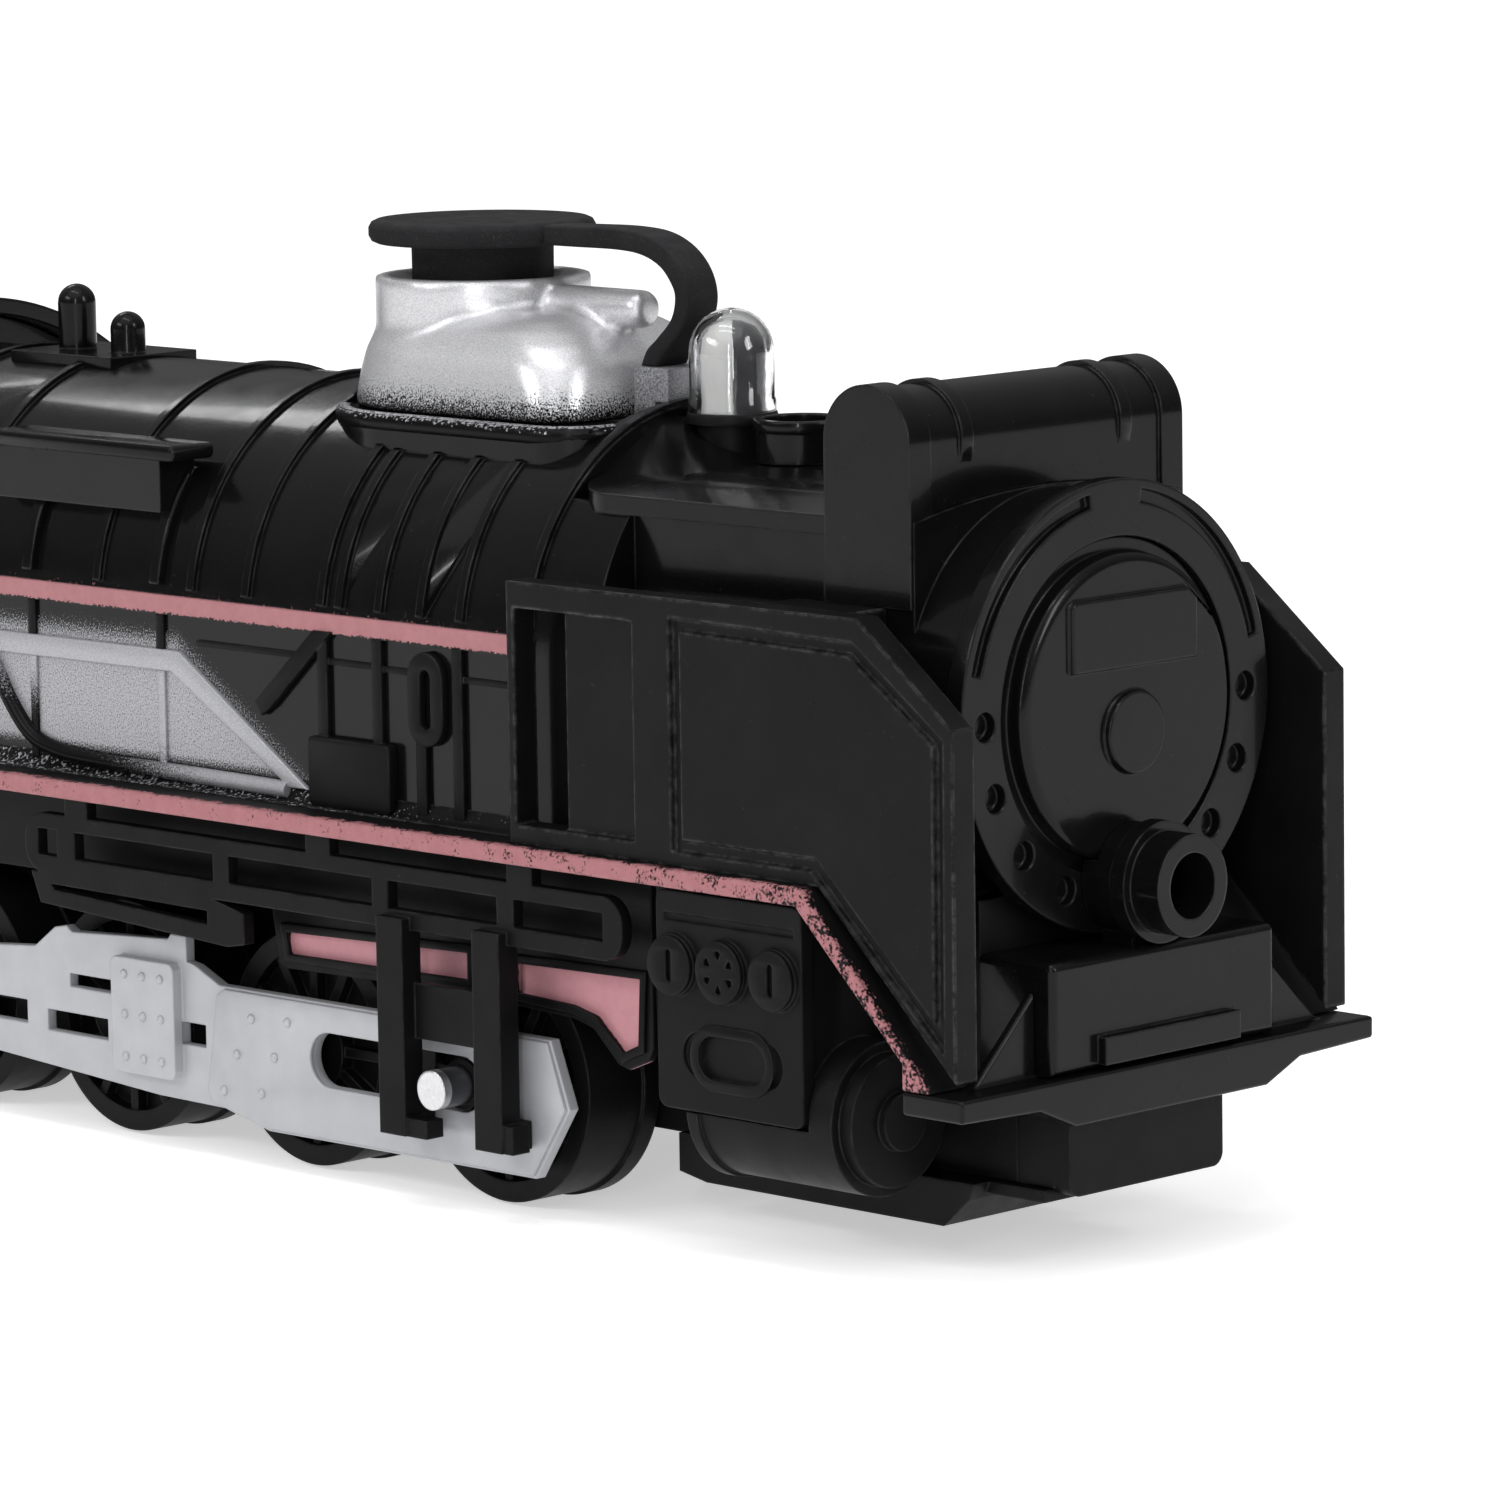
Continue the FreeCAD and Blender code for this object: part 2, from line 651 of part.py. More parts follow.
def front_beam():
    """Cross beam under the box, deeper in the middle, with gussets to the deflectors."""
    half = cells.half_width
    outline = [(-half, 15.5), (-15.8, 15.2), (-11.6, 13.4), (11.6, 13.4), (15.8, 15.2), (half, 15.5),
               (half, 17.4), (-half, 17.4)]
    beam = slab("YZ", outline, (cells.beam_rear - 3.0, cells.beam_front))
    gussets = [slab("YZ", [(side * 13.6, 17.4), (side * 20.9, 17.4), (side * 13.6, 24.4)], (99.3, 100.2))
               for side in SIDES.values()]
    return fuse(beam, *gussets)


def coupler_pocket():
    """Lower block under the beam with a slot for a front coupling."""
    half = 9.3
    block = rounded(box((98.0, 99.85), (-half, half), (6.8, 13.4)), 1.2,
                    lambda middle, direction: middle.z < 7 and abs(direction.x) > 0.99)
    tail = box((94.2, 98.1), (-half, half), (7.4, 13.4))
    slot = box((93, 98.6), (-half + 1.6, half - 1.6), (8.6, 12.0))
    return cut(fuse(block, tail), slot)


def smoke_deflector(side):
    """Upright side plate with a shallow framed panel and a rear window recess."""
    outer = cells.deflector_outer
    inner = cells.deflector_inner
    front = cells.deflector_front
    rear = cells.deflector_rear
    top = cells.deflector_top
    board = cells.board_top
    corner = cells.board_corner
    outline = [(rear, board), (corner + 0.7, board), (front, 18.2), (front, 46.5), (front - 10.3, top),
               (rear, top)]
    plate = slab("XZ", outline, outward(side, inner, outer))
    frame = [(69.4, 33.8), (85.2, 33.8), (99.6, 20.6), (99.8, 45.6), (90.0, 52.6), (69.4, 53.0)]
    field = [(70.5, 34.8), (85.7, 34.8), (98.7, 22.8), (98.8, 45.1), (89.6, 51.6), (70.5, 52.0)]
    panel_line = slab("XZ", frame, outward(side, outer - 0.5, outer + 1), holes=[field])
    window = box((rear + 0.9, rear + 6.2), outward(side, inner - 1, outer + 1), (board + 1.6, top - 2.2))
    step = box((rear + 6.1, 65.0), outward(side, outer - 0.8, outer + 1), (board + 1.6, top - 2.2))
    tie = box((76.6, 86.6), outward(side, cells.casing_half_width, inner + 0.1), (52.5, 54.4))
    return fuse(cut(plate, panel_line, window, step), tie)


def running_board(side):
    """Flat board beside the boiler that slopes down to the front beam."""
    top = cells.board_top
    under = top - cells.board_thickness
    corner = cells.board_corner
    foot = cells.beam_rear - 3.0
    outline = [(cells.cab_front + 0.2, under), (corner - 0.7, under), (foot, 19.6), (foot, 17.45),
               (foot + 3.0, 17.45), (corner, top), (cells.cab_front + 0.2, top)]
    return slab("XZ", outline, outward(side, cells.board_inner_edge, cells.half_width))


def frame_valance(side):
    """Plate between board and wheels with two framed recesses over the front wheels."""
    top = cells.board_top - cells.board_thickness
    outline = [(-41.8, 23.0), (15.4, 23.0), (16.2, 18.2), (17.2, 17.7), (41.8, 18.1), (45.2, 17.8),
               (53.0, 17.5), (55.4, 16.9), (58.4, 14.2), (59.6, 13.9), (61.8, 14.8), (62.6, 16.0),
               (62.6, top), (-41.8, top)]
    windows = [
        [(17.8, 19.0), (40.6, 19.3), (40.6, 21.8), (17.4, 21.1)],
        [(46.3, 18.9), (53.4, 18.6), (56.0, 18.0), (59.2, 15.2), (61.2, 16.1), (61.5, 21.9),
         (46.3, 21.6)],
    ]
    plate = slab("XZ", outline, outward(side, 18.5, 19.5))
    recesses = [slab("XZ", window, outward(side, 19.1, 20.5)) for window in windows]
    return cut(plate, *recesses)


# ---------------------------------------------------------------- cylinders and valve gear

def cylinder_casting(side):
    """Steam cylinder with its steam chest above."""
    centre = (side * cells.cylinder_offset, cells.cylinder_height)
    barrel = rod("X", centre, (72.0, 87.0), cells.cylinder_radius)
    cap = rod("X", centre, (87.0, 88.4), cells.cylinder_radius - 0.9)
    nose = rod("X", centre, (88.4, 89.2), 2.4)
    top = cells.board_top - cells.board_thickness
    chest = box((66.4, 84.0), outward(side, 10.0, cells.cover_face - 1.4), (cells.cylinder_height, top))
    flange = rod("X", centre, (70.8, 72.0), cells.cylinder_radius + 0.3)
    seat = box((67.5, 84.5), outward(side, cells.cover_face - 1.4, cells.cover_face + 2), (12.4, top + 1))
    return cut(fuse(barrel, cap, nose, chest, flange), seat)


def valve_cover(side):
    """Outer cover of the steam chest: three discs, a pill-shaped recess and a groove."""
    face = cells.cover_face
    top = cells.board_top - cells.board_thickness - 0.3
    plate = rounded(box((67.7, 84.3), outward(side, face - 1.4, face), (12.6, top)), 1.0,
                    lambda middle, direction: abs(direction.y) > 0.99)
    outside = outward(side, face - 0.5, face + 1)
    discs = [rod("Y", (at, 24.6), outward(side, face - 0.1, face + 0.5), 2.6) for at in (69.9, 75.6, 81.5)]
    pill = fuse(box((72.5, 80.1), outside, (15.4, 19.2)), rod("Y", (72.5, 17.3), outside, 1.9),
                rod("Y", (80.1, 17.3), outside, 1.9))
    groove = box((68.6, 83.4), outward(side, face - 0.3, face + 1), (28.2, 28.8))
    edges = box((67.7, 84.3), outside, (12.6, top))
    return fuse(cut(plate, pill, groove), *[common(disc, edges) for disc in discs])


def valve_gear_guide(side):
    """Ladder-like guide frame with two hanging bars that keep the side rod in place."""
    near = 22.8
    face = cells.cover_face
    rungs = [(-10.6, -8.0), (-5.6, 12.9), (14.9, 33.3), (35.3, 48.7), (50.7, 61.4)]
    ladder = slab("XZ", rectangle((-12.3, 63.7), (23.9, 29.3)), outward(side, near, face),
                  holes=[rectangle(rung, (25.5, 27.9)) for rung in rungs])
    upper = rounded(ladder, 2.4,
                    lambda middle, direction: abs(direction.y) > 0.99 and not -12 < middle.x < 63)
    slide = [(-11.6, 24.0), (-10.4, 21.2), (14.6, 19.9), (16.8, 20.3), (16.8, 23.0), (12.4, 24.0)]
    slide_slot = [(-9.0, 23.0), (-8.6, 22.5), (12.0, 21.6), (12.0, 22.8)]
    lower = slab("XZ", slide, outward(side, near, face), holes=[slide_slot])
    bars = []
    for low, high, toe, toe_top in ((34.8, 38.0, 40.4, 7.9), (46.6, 49.9, 51.0, 8.7)):
        bars.append(box((low, high), outward(side, near, 25.0), (8.6, 25.0)))
        bars.append(box((low, high), outward(side, 21.5, 25.0), (6.3, 8.7)))
        bars.append(box((high - 0.1, toe), outward(side, near, 24.8), (6.3, toe_top)))
    back = box((37.9, 46.7), outward(side, near, near + 0.8), (14.6, 19.4))
    board_underside = cells.board_top - cells.board_thickness
    lugs = [box((at, at + 3.0), outward(side, near, face), (29.2, board_underside))
            for at in (-6.8, 25.0, 50.0)]
    return fuse(upper, lower, back, *bars, *lugs)


# ---------------------------------------------------------------- wheels, axles and rods

def axle_at(number):
    return cells.front_axle_at - (number - 1) * cells.axle_spacing


def crank_at(number, side):
    """The right crank points to the rear and the left one forward."""
    return axle_at(number) + side * cells.crank_throw


def driving_axle(number):
    half = cells.wheel_outer_face - 0.4
    return rod("Y", (axle_at(number), cells.wheel_radius), (-half, half), cells.axle_radius)


def driving_wheel(number, side):
    """Spoked wheel with a thin flange on its inner side."""
    centre = (axle_at(number), cells.wheel_radius)
    inner = cells.wheel_inner_face
    outer = cells.wheel_outer_face
    tread = rod("Y", centre, outward(side, inner, outer), cells.tread_radius)
    flange = rod("Y", centre, outward(side, inner, inner + cells.flange_width), cells.wheel_radius)
    face = cut(rod("Y", centre, outward(side, outer - 1.4, outer + 1), cells.tread_radius - 1.8),
               rod("Y", centre, outward(side, outer - 2, outer + 2), 3.9))
    spokes = []
    for turn in range(12):
        spoke = box((-0.45, 0.45), outward(side, outer - 1.5, outer - 0.3), (3.6, cells.tread_radius - 1.4))
        angle = math.radians(turn * 30)
        spin = FreeCAD.Rotation(AXES["Y"], turn * 30)
        start = spin.multVec(FreeCAD.Vector(-0.45, 0, 3.6))
        low = outward(side, outer - 1.5, outer - 0.3)[0]
        place(spoke, centre[0] + start.x, low, centre[1] + start.z, spin)
        spokes.append(spoke)
    bore = rod("Y", centre, outward(side, inner - 1, outer - 0.4), cells.axle_radius)
    boss = rod("Y", (crank_at(number, side), cells.wheel_radius),
               outward(side, outer - 1.5, outer + 0.3), 2.9)
    pin_hole = rod("Y", (crank_at(number, side), cells.wheel_radius),
                   outward(side, outer - 0.4, outer + 1), 1.2)
    return cut(fuse(cut(fuse(tread, flange), face), *spokes, boss), bore, pin_hole)


def crank_pin(number, side, face, boss_radius):
    """Steel pin with a wider boss that carries the side rod."""
    centre = (crank_at(number, side), cells.wheel_radius)
    wheel_face = cells.wheel_outer_face
    root = rod("Y", centre, outward(side, wheel_face - 0.4, wheel_face + 0.4), 1.2)
    boss = rod("Y", centre, outward(side, wheel_face + 0.3, cells.rod_outer_face + 0.5), boss_radius)
    pin = rod("Y", centre, outward(side, cells.rod_outer_face, face), cells.crank_pin_radius)
    return fuse(root, boss, pin)


def side_rod(side):
    """Long coupling plate: round hole on the rear pin, slot on the front pin, raised crosshead block."""
    shift = (1 + side) * cells.crank_throw
    wheel = cells.wheel_radius

    def along(points):
        return [(shift + x, z) for x, z in points]

    span = outward(side, cells.rod_inner_face, cells.rod_outer_face)
    outline = along([(54.0, 10.0), (51.8, 15.7), (10.0, 15.6), (6.8, 17.0), (5.6, 17.2), (5.6, 19.5),
                     (3.6, 19.5), (3.2, 19.0), (-9.8, 18.2), (-10.6, 18.7), (-12.2, 18.4), (-15.0, 16.4),
                     (-33.5, 14.8), (-36.6, 12.4), (-36.6, 9.0), (-33.5, 7.0), (-20.4, 6.2),
                     (1.6, 4.8), (10.3, 4.7), (16.1, 3.4), (49.8, 3.6)])
    holes = [along(rectangle((4.8, 8.0), (9.8, 11.8))), along(rectangle((-13.5, -5.2), (8.9, 10.8))),
             along(rectangle((-24.2, -16.3), (9.2, 11.3))), along(rectangle((-10.3, -3.4), (13.2, 14.4)))]
    pin = (crank_at(4, side), wheel, cells.crank_boss_radius + cells.fit_gap)
    plate = slab("XZ", outline, span, holes=holes, circles=[pin])
    half_slot = cells.crank_boss_radius + 0.25
    slot_span = outward(side, cells.rod_inner_face - 1, cells.rod_outer_face + 1)
    rear = shift + 24.4
    front = crank_at(1, side)
    slot = fuse(box((rear, front), slot_span, (wheel - half_slot, wheel + half_slot)),
                rod("Y", (rear, wheel), slot_span, half_slot),
                rod("Y", (front, wheel), slot_span, half_slot))
    outer = cells.rod_outer_face
    block = rounded(box((shift - 3.4, shift + 5.0), outward(side, outer, outer + 1.1), (6.6, 17.0)), 0.8,
                    lambda middle, direction: abs(direction.y) > 0.99)
    return fuse(cut(plate, slot), block)


# ---------------------------------------------------------------- chassis, motor and gears

def gear_profile(centre, teeth, span, phase):
    """A spur gear along Y with straight-sided teeth."""
    module = cells.gear_module.value
    pitch = teeth * module / 2
    tip = pitch + 0.75 * module
    root = pitch - 0.95 * module
    tooth = 2 * math.pi / teeth
    points = []
    for number in range(teeth):
        middle = phase + number * tooth
        for radius, fraction in ((root, -0.33), (tip, -0.13), (tip, 0.13), (root, 0.33)):
            angle = middle + fraction * tooth
            points.append(FreeCAD.Vector(radius * math.sin(angle), 0, radius * math.cos(angle)))
    points.append(points[0])
    wire = Part.makePolygon(points)
    low = Size.of(span[0]).value
    high = Size.of(span[1]).value
    solid = Part.Face(wire).extrude(FreeCAD.Vector(0, high - low, 0))
    gear = document.addObject("Part::Feature", "Gear")
    gear.Shape = solid
    gear.Placement = FreeCAD.Placement(FreeCAD.Vector(centre[0].value, low, Size.of(centre[1]).value),
                                       FreeCAD.Rotation())
    return gear


AXLE_TEETH = 20
IDLER_SMALL_TEETH = 10
IDLER_LARGE_TEETH = 24
PINION_TEETH = 8


def gear_heights():
    """Heights of the axle, idler and motor shafts, one above the other."""
    axle = cells.wheel_radius
    idler = axle + (AXLE_TEETH + IDLER_SMALL_TEETH) * cells.gear_module / 2
    motor = idler + (IDLER_LARGE_TEETH + PINION_TEETH) * cells.gear_module / 2
    return axle, idler, motor


def axle_gear():
    axle, idler, motor = gear_heights()
    gear = gear_profile((axle_at(3), axle), AXLE_TEETH, (3.0, 6.0), 0.0)
    return cut(gear, rod("Y", (axle_at(3), axle), (2, 7), cells.axle_radius))


def idler_gear():
    """Small and large gear moulded on one spindle."""
    axle, idler, motor = gear_heights()
    half_turn = math.pi
    small = gear_profile((axle_at(3), idler), IDLER_SMALL_TEETH, (2.6, 6.4),
                         half_turn + half_turn / IDLER_SMALL_TEETH)
    large = gear_profile((axle_at(3), idler), IDLER_LARGE_TEETH, (-6.4, -4.4), 0.0)
    spindle = rod("Y", (axle_at(3), idler), (-8.9, 8.9), 1.0)
    sleeve = rod("Y", (axle_at(3), idler), (-4.5, 2.7), 2.2)
    return fuse(small, large, spindle, sleeve)


def motor_pinion():
    axle, idler, motor = gear_heights()
    gear = gear_profile((axle_at(3), motor), PINION_TEETH, (-6.8, -4.0), math.pi / PINION_TEETH + math.pi)
    return fuse(gear, rod("Y", (axle_at(3), motor), (-6.9, 12.0), 0.9))


def motor_case():
    axle, idler, motor = gear_heights()
    can = common(rod("Y", (axle_at(3), motor), (-3.2, 15.6), 7.6),
                 box((-20, 10), (-4, 17), (motor - 6.2, motor + 6.2)))
    boss = rod("Y", (axle_at(3), motor), (-3.7, -3.1), 2.4)
    return cut(fuse(can, boss), rod("Y", (axle_at(3), motor), (-5, 12.3), 0.9 + cells.fit_gap))


def chassis_frame():
    """Two side plates with the axle bores, a top plate that carries the body, and the cab floor."""
    top = cells.board_top - cells.board_thickness
    deck = top - 1.6
    pieces = [box((-42.0, 57.6), outward(side, cells.frame_inner, cells.frame_outer), (6.6, deck + 0.1))
              for side in SIDES.values()]
    pieces.append(box((-42.0, 62.0), (-18.3, 18.3), (deck, top)))
    pieces.append(box((-92.0, -41.9), (-21.6, 21.6), (deck, top)))
    pieces.append(box((57.5, 94.0), (-9.15, 9.15), (7.4, top)))
    pieces.append(box((92.0, 94.0), (-13.4, 13.4), (14.0, top)))
    pieces.append(box((-49.5, -42.5), (-6.0, 6.0), (12.6, deck + 0.1)))
    pieces.append(box((-98.0, -91.0), (-6.0, 6.0), (16.6, top)))
    pieces.append(box((-93.5, -91.0), (-21.6, 21.6), (22.0, top)))
    for side in SIDES.values():
        pieces.append(box((-62.0, -54.0), outward(side, 20.2, 21.6), (15.0, deck + 0.1)))
        pieces += [box((-62.0, -54.0), outward(side, 18.4, 20.3), (height, height + 1.2))
                   for height in (15.0, 21.5)]
    pieces.append(rod("Z", (cells.truck_pivot_at, 0), (8.2, 13.0), 1.5))
    pieces += [box((at, at + 2), (-7.5, 7.5), (16.0, 27.0)) for at in (28.0, -21.5, -41.0)]
    axle, idler, motor = gear_heights()
    tools = [rod("Y", (axle_at(number), axle), (-12, 12), cells.axle_radius + cells.fit_gap)
             for number in (1, 2, 3, 4)]
    tools.append(rod("Y", (axle_at(3), idler), (-12, 12), 1.0 + cells.fit_gap))
    tools.append(box((axle_at(3) - 12, axle_at(3) + 12), (-7.3, 16.2), (deck - 1, top + 1)))
    tools.append(box((64.0, 92.0), (-7.4, 7.4), (6.0, deck - 1.4)))
    tools.append(rod("Z", (-95.0, 0), (15, 22), 1.3))
    tools += [rod("Z", at, (deck - 1, top + 1), cells.screw_radius + 0.2) for at in screw_places()]
    tools.append(box((-81.0, -73.0), (-2.2, 2.2), (deck - 1, top + 1)))
    return cut(fuse(*pieces), *tools)


def pilot_plate():
    """Low plate under the cylinders with sloped ends, and a thin tongue out to the coupler block."""
    outline = [(57.8, 4.0), (61.0, 3.4), (88.3, 3.4), (91.2, 5.9), (91.8, 7.3), (57.8, 7.3)]
    tongue = box((91.0, 97.9), (-10.2, 10.2), (6.3, 7.3))
    posts = [box((66.0, 90.0), outward(side, 7.5, 9.1), (7.2, 7.4)) for side in SIDES.values()]
    return fuse(slab("XZ", outline, (-12.0, 12.0)), tongue, *posts)


# ---------------------------------------------------------------- cab, batteries and electrics

def cab_shell():
    """Cab walls under a curved roof line, with side windows and a battery opening at the back."""
    x = (cells.cab_rear, cells.cab_front)
    half = cells.cab_half_width
    wall = cells.cab_wall
    crown = cells.roof_crown - cells.roof_radius
    bottom = cells.board_top - cells.board_thickness
    outer = common(box(x, (-half, half), (bottom, 74)), rod("X", (0, crown), x, cells.roof_radius - 1.6))
    inner = box((x[0] + wall, x[1] - wall), (-half + wall, half - wall), (bottom - 1, 75))
    boiler = arch(cells.boiler_radius, (x[1] - 3, x[1] + 1), cells.boiler_axis_height, bottom - 1)
    windows = [box((low, high), (-half - 1, half + 1), (50.0, 58.6))
               for low, high in ((-84, -72), (-69, -57))]
    rear_opening = box((x[0] - 1, x[0] + wall + 1), (-15.6, 15.6), (34.4, 51.2))
    rear_window = [box((x[0] - 1, x[0] + wall + 1), outward(side, 6.0, 13.5), (55.0, 62.0))
                   for side in SIDES.values()]
    return cut(outer, inner, boiler, *windows, rear_opening, *rear_window)


def cab_roof():
    """Curved roof with overhang and a raised vent."""
    x = (cells.cab_rear - 3.0, cells.cab_front + 3.0)
    crown = cells.roof_crown - cells.roof_radius
    shell = cut(rod("X", (0, crown), x, cells.roof_radius),
                rod("X", (0, crown), (x[0] - 1, x[1] + 1), cells.roof_radius - 1.6))
    roof = common(shell, box(x, (-23.4, 23.4), (58.5, 74)))
    vent = box((-76, -62), (-6, 6), (cells.roof_crown - 1.0, cells.roof_crown + 1.2))
    return fuse(roof, cut(vent, rod("X", (0, crown), x, cells.roof_radius - 0.8)))


def battery_box():
    """Tray for two cells, open to the rear."""
    outer = box((-86.2, -33.6), (-15.3, 15.3), (34.6, 50.8))
    inner = box((-87.0, -34.8), (-14.4, 14.4), (35.4, 50.0))
    foot = box((-70.0, -40.0), (-8.0, 8.0), (cells.board_top - cells.board_thickness, 34.7))
    return fuse(cut(outer, inner), foot)


def battery_cells():
    """Two cells side by side, with their raised contacts."""
    solids = []
    for side in SIDES.values():
        centre = (side * 7.15, 42.6)
        direction = (-85.2, -85.2 + cells.cell_length - 1)
        solids.append(fuse(rod("X", centre, direction, cells.cell_radius - 0.02),
                           rod("X", centre, (direction[1] - 0.1, direction[1] + 0.9), 2.6)))
    return group(*solids)


def battery_door():
    """Door in the back wall of the cab, hinged at its left edge."""
    panel = rounded(box((-87.9, -86.6), (-15.3, 15.0), (34.7, 50.9)), 0.6,
                    lambda middle, direction: middle.x < -87.8 and abs(direction.x) < 0.1)
    grip = box((-89.2, -87.8), (-12.6, -10.8), (40.0, 45.6))
    return fuse(panel, grip)


def circuit_board():
    board = box((14.0, 44.0), (-13.0, 13.0), (36.0, 37.4))
    chips = [box((18, 26), (-4, 4), (37.3, 39.0)), box((30, 35), (3, 9), (37.3, 39.6)),
             box((14.4, 17.4), (-10, -6), (34.0, 36.1))]
    posts = [rod("Z", (at, across), (cells.board_top - cells.board_thickness, 36.1), 1.2)
             for at in (16.5, 41.5) for across in (-11.0, 11.0)]
    return fuse(board, *chips, *posts)


def speaker():
    """Round loudspeaker under the boiler's top, ahead of the circuit board."""
    at = (66.0, 0)
    return fuse(rod("Z", at, (34.6, 37.4), 8.0), taper("Z", at, (37.4, 39.0), (8.0, 5.0)),
                rod("Z", at, (31.5, 34.7), 3.0))


def smoke_tank():
    """Water tank under the dome with a pipe to the chimney."""
    tank = box((13.4, 45.2), (-9.6, 9.6), (50.0, 61.5))
    inside = box((14.6, 44.0), (-8.4, 8.4), (51.2, 60.3))
    neck = rod("Z", (cells.dome_at, 0), (61.4, cells.dome_foot), cells.dome_bore + 1.0)
    neck_bore = rod("Z", (cells.dome_at, 0), (60.0, 70.0), cells.dome_bore)
    pipe = rod("X", (0, 54.0), (45.1, cells.chimney_at + 1.6), 1.6)
    riser = rod("Z", (cells.chimney_at, 0), (52.4, 57.5), 1.6)
    return cut(fuse(tank, neck, pipe, riser), inside, neck_bore)


def power_switch():
    """Slide switch in the cab floor, worked from below."""
    deck = cells.board_top - cells.board_thickness - 1.6
    stem = box((-80.9, -76.9), (-2.0, 2.0), (deck - 1.4, deck + 1.3))
    plate = box((-82.0, -75.8), (-3.2, 3.2), (deck + 1.9, deck + 2.7))
    return fuse(stem, box((-80.4, -77.4), (-1.5, 1.5), (deck + 1.2, deck + 2.0)), plate)


def rear_hook():
    """Coupling hook that swings under the rear of the chassis."""
    outline = [(-93.0, -2.6), (-93.0, 2.6), (-97.0, 2.6), (-100.4, 1.4), (-105.0, 1.4), (-105.0, -1.4),
               (-100.4, -1.4), (-97.0, -2.6)]
    bar = slab("XY", outline, (14.2, 16.2))
    pin = rod("Z", (-95.0, 0), (16.1, 21.4), 1.3 - cells.fit_gap)
    claw = box((-105.0, -103.2), (-1.4, 1.4), (16.1, 19.6))
    return fuse(bar, pin, claw)


# ---------------------------------------------------------------- trailing truck

def trailing_truck():
    """Swivelling frame under the cab."""
    axle = (cells.truck_axle_at, cells.truck_wheel_radius)
    plate = box((-76.0, -43.4), (-7.0, 7.0), (9.4, 11.2))
    cheeks = [box((-76.0, -60.0), outward(side, 6.9, 8.6), (3.4, 11.2)) for side in SIDES.values()]
    return cut(fuse(plate, *cheeks), rod("Y", axle, (-12, 12), 1.2 + cells.fit_gap),
               rod("Z", (cells.truck_pivot_at, 0), (8, 13), 1.5 + cells.fit_gap))


def trailing_wheels():
    """Two small wheels on one axle."""
    axle = (cells.truck_axle_at, cells.truck_wheel_radius)
    pieces = [rod("Y", axle, (-14.6, 14.6), 1.2)]
    for side in SIDES.values():
        rim = rod("Y", axle, outward(side, 9.6, 14.4), cells.truck_wheel_radius)
        dish = cut(rod("Y", axle, outward(side, 13.4, 15.0), 4.4),
                   rod("Y", axle, outward(side, 13, 16), 2.0))
        pieces.append(cut(rim, dish))
    return fuse(*pieces)


# ---------------------------------------------------------------- assembly

SINGLE_PARTS = [boiler_shell, body_screws, smokebox_casing, smokebox_ring, smokebox_door, front_lamp,
                chimney, feedwater_heater, safety_valves, dome_base, steam_dome, filler_plug,
                plug_strap, lamp_lens, lamp_holder, buffer_box, front_beam, coupler_pocket, axle_gear,
                idler_gear, motor_pinion, motor_case, chassis_frame, pilot_plate, cab_shell, cab_roof,
                battery_box, battery_cells, battery_door, circuit_board, speaker, smoke_tank,
                power_switch, rear_hook, trailing_truck, trailing_wheels]
SIDE_PARTS = [smoke_deflector, running_board, frame_valance, cylinder_casting, valve_cover,
              valve_gear_guide, side_rod]
AXLE_NAMES = {1: "front", 2: "second", 3: "third", 4: "rear"}

for build in SINGLE_PARTS:
    part(build.__name__, build())
for build in SIDE_PARTS:
    for side_name, side in SIDES.items():
        part(f"{build.__name__}_{side_name}", build(side))
for number, axle_name in AXLE_NAMES.items():
    part(f"axle_{axle_name}", driving_axle(number))
    part(f"wheels_{axle_name}", group(*[driving_wheel(number, side) for side in SIDES.values()]))
for pins_name, number, pin_face in (("crank_pins_front", 1, cells.half_width),
                                    ("crank_pins_rear", 4, 22.0)):
    part(pins_name, group(*[crank_pin(number, side, pin_face, cells.crank_boss_radius)
                            for side in SIDES.values()]))

document.recompute()
failed = [thing.Label for thing in document.Objects if "Invalid" in thing.State or "Error" in thing.State]
if failed:
    raise RuntimeError(f"objects that did not build: {failed}")
os.makedirs("parts", exist_ok=True)
for name, thing in parts.items():
    shape = thing.Shape
    if shape.isNull() or not shape.isValid() or not shape.Solids:
        raise RuntimeError(f"{name} has no valid shape")
    shape.exportStep(f"parts/{name}.step")
print(f"{len(parts)} sub-parts written")
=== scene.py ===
import bpy
import bmesh
import math
from mathutils import Matrix, Vector


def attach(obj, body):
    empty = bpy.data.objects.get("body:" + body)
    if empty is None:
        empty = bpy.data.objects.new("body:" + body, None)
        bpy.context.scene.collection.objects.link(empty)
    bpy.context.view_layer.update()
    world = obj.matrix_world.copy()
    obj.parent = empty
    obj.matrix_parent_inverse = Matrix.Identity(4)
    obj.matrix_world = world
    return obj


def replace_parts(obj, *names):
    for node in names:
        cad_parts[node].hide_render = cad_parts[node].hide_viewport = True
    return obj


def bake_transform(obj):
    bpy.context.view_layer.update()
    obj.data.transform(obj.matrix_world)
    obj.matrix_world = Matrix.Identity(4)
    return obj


# Looks of the toy steam locomotive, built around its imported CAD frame.
# The frame is in metres; MM turns the millimetres used here into metres.

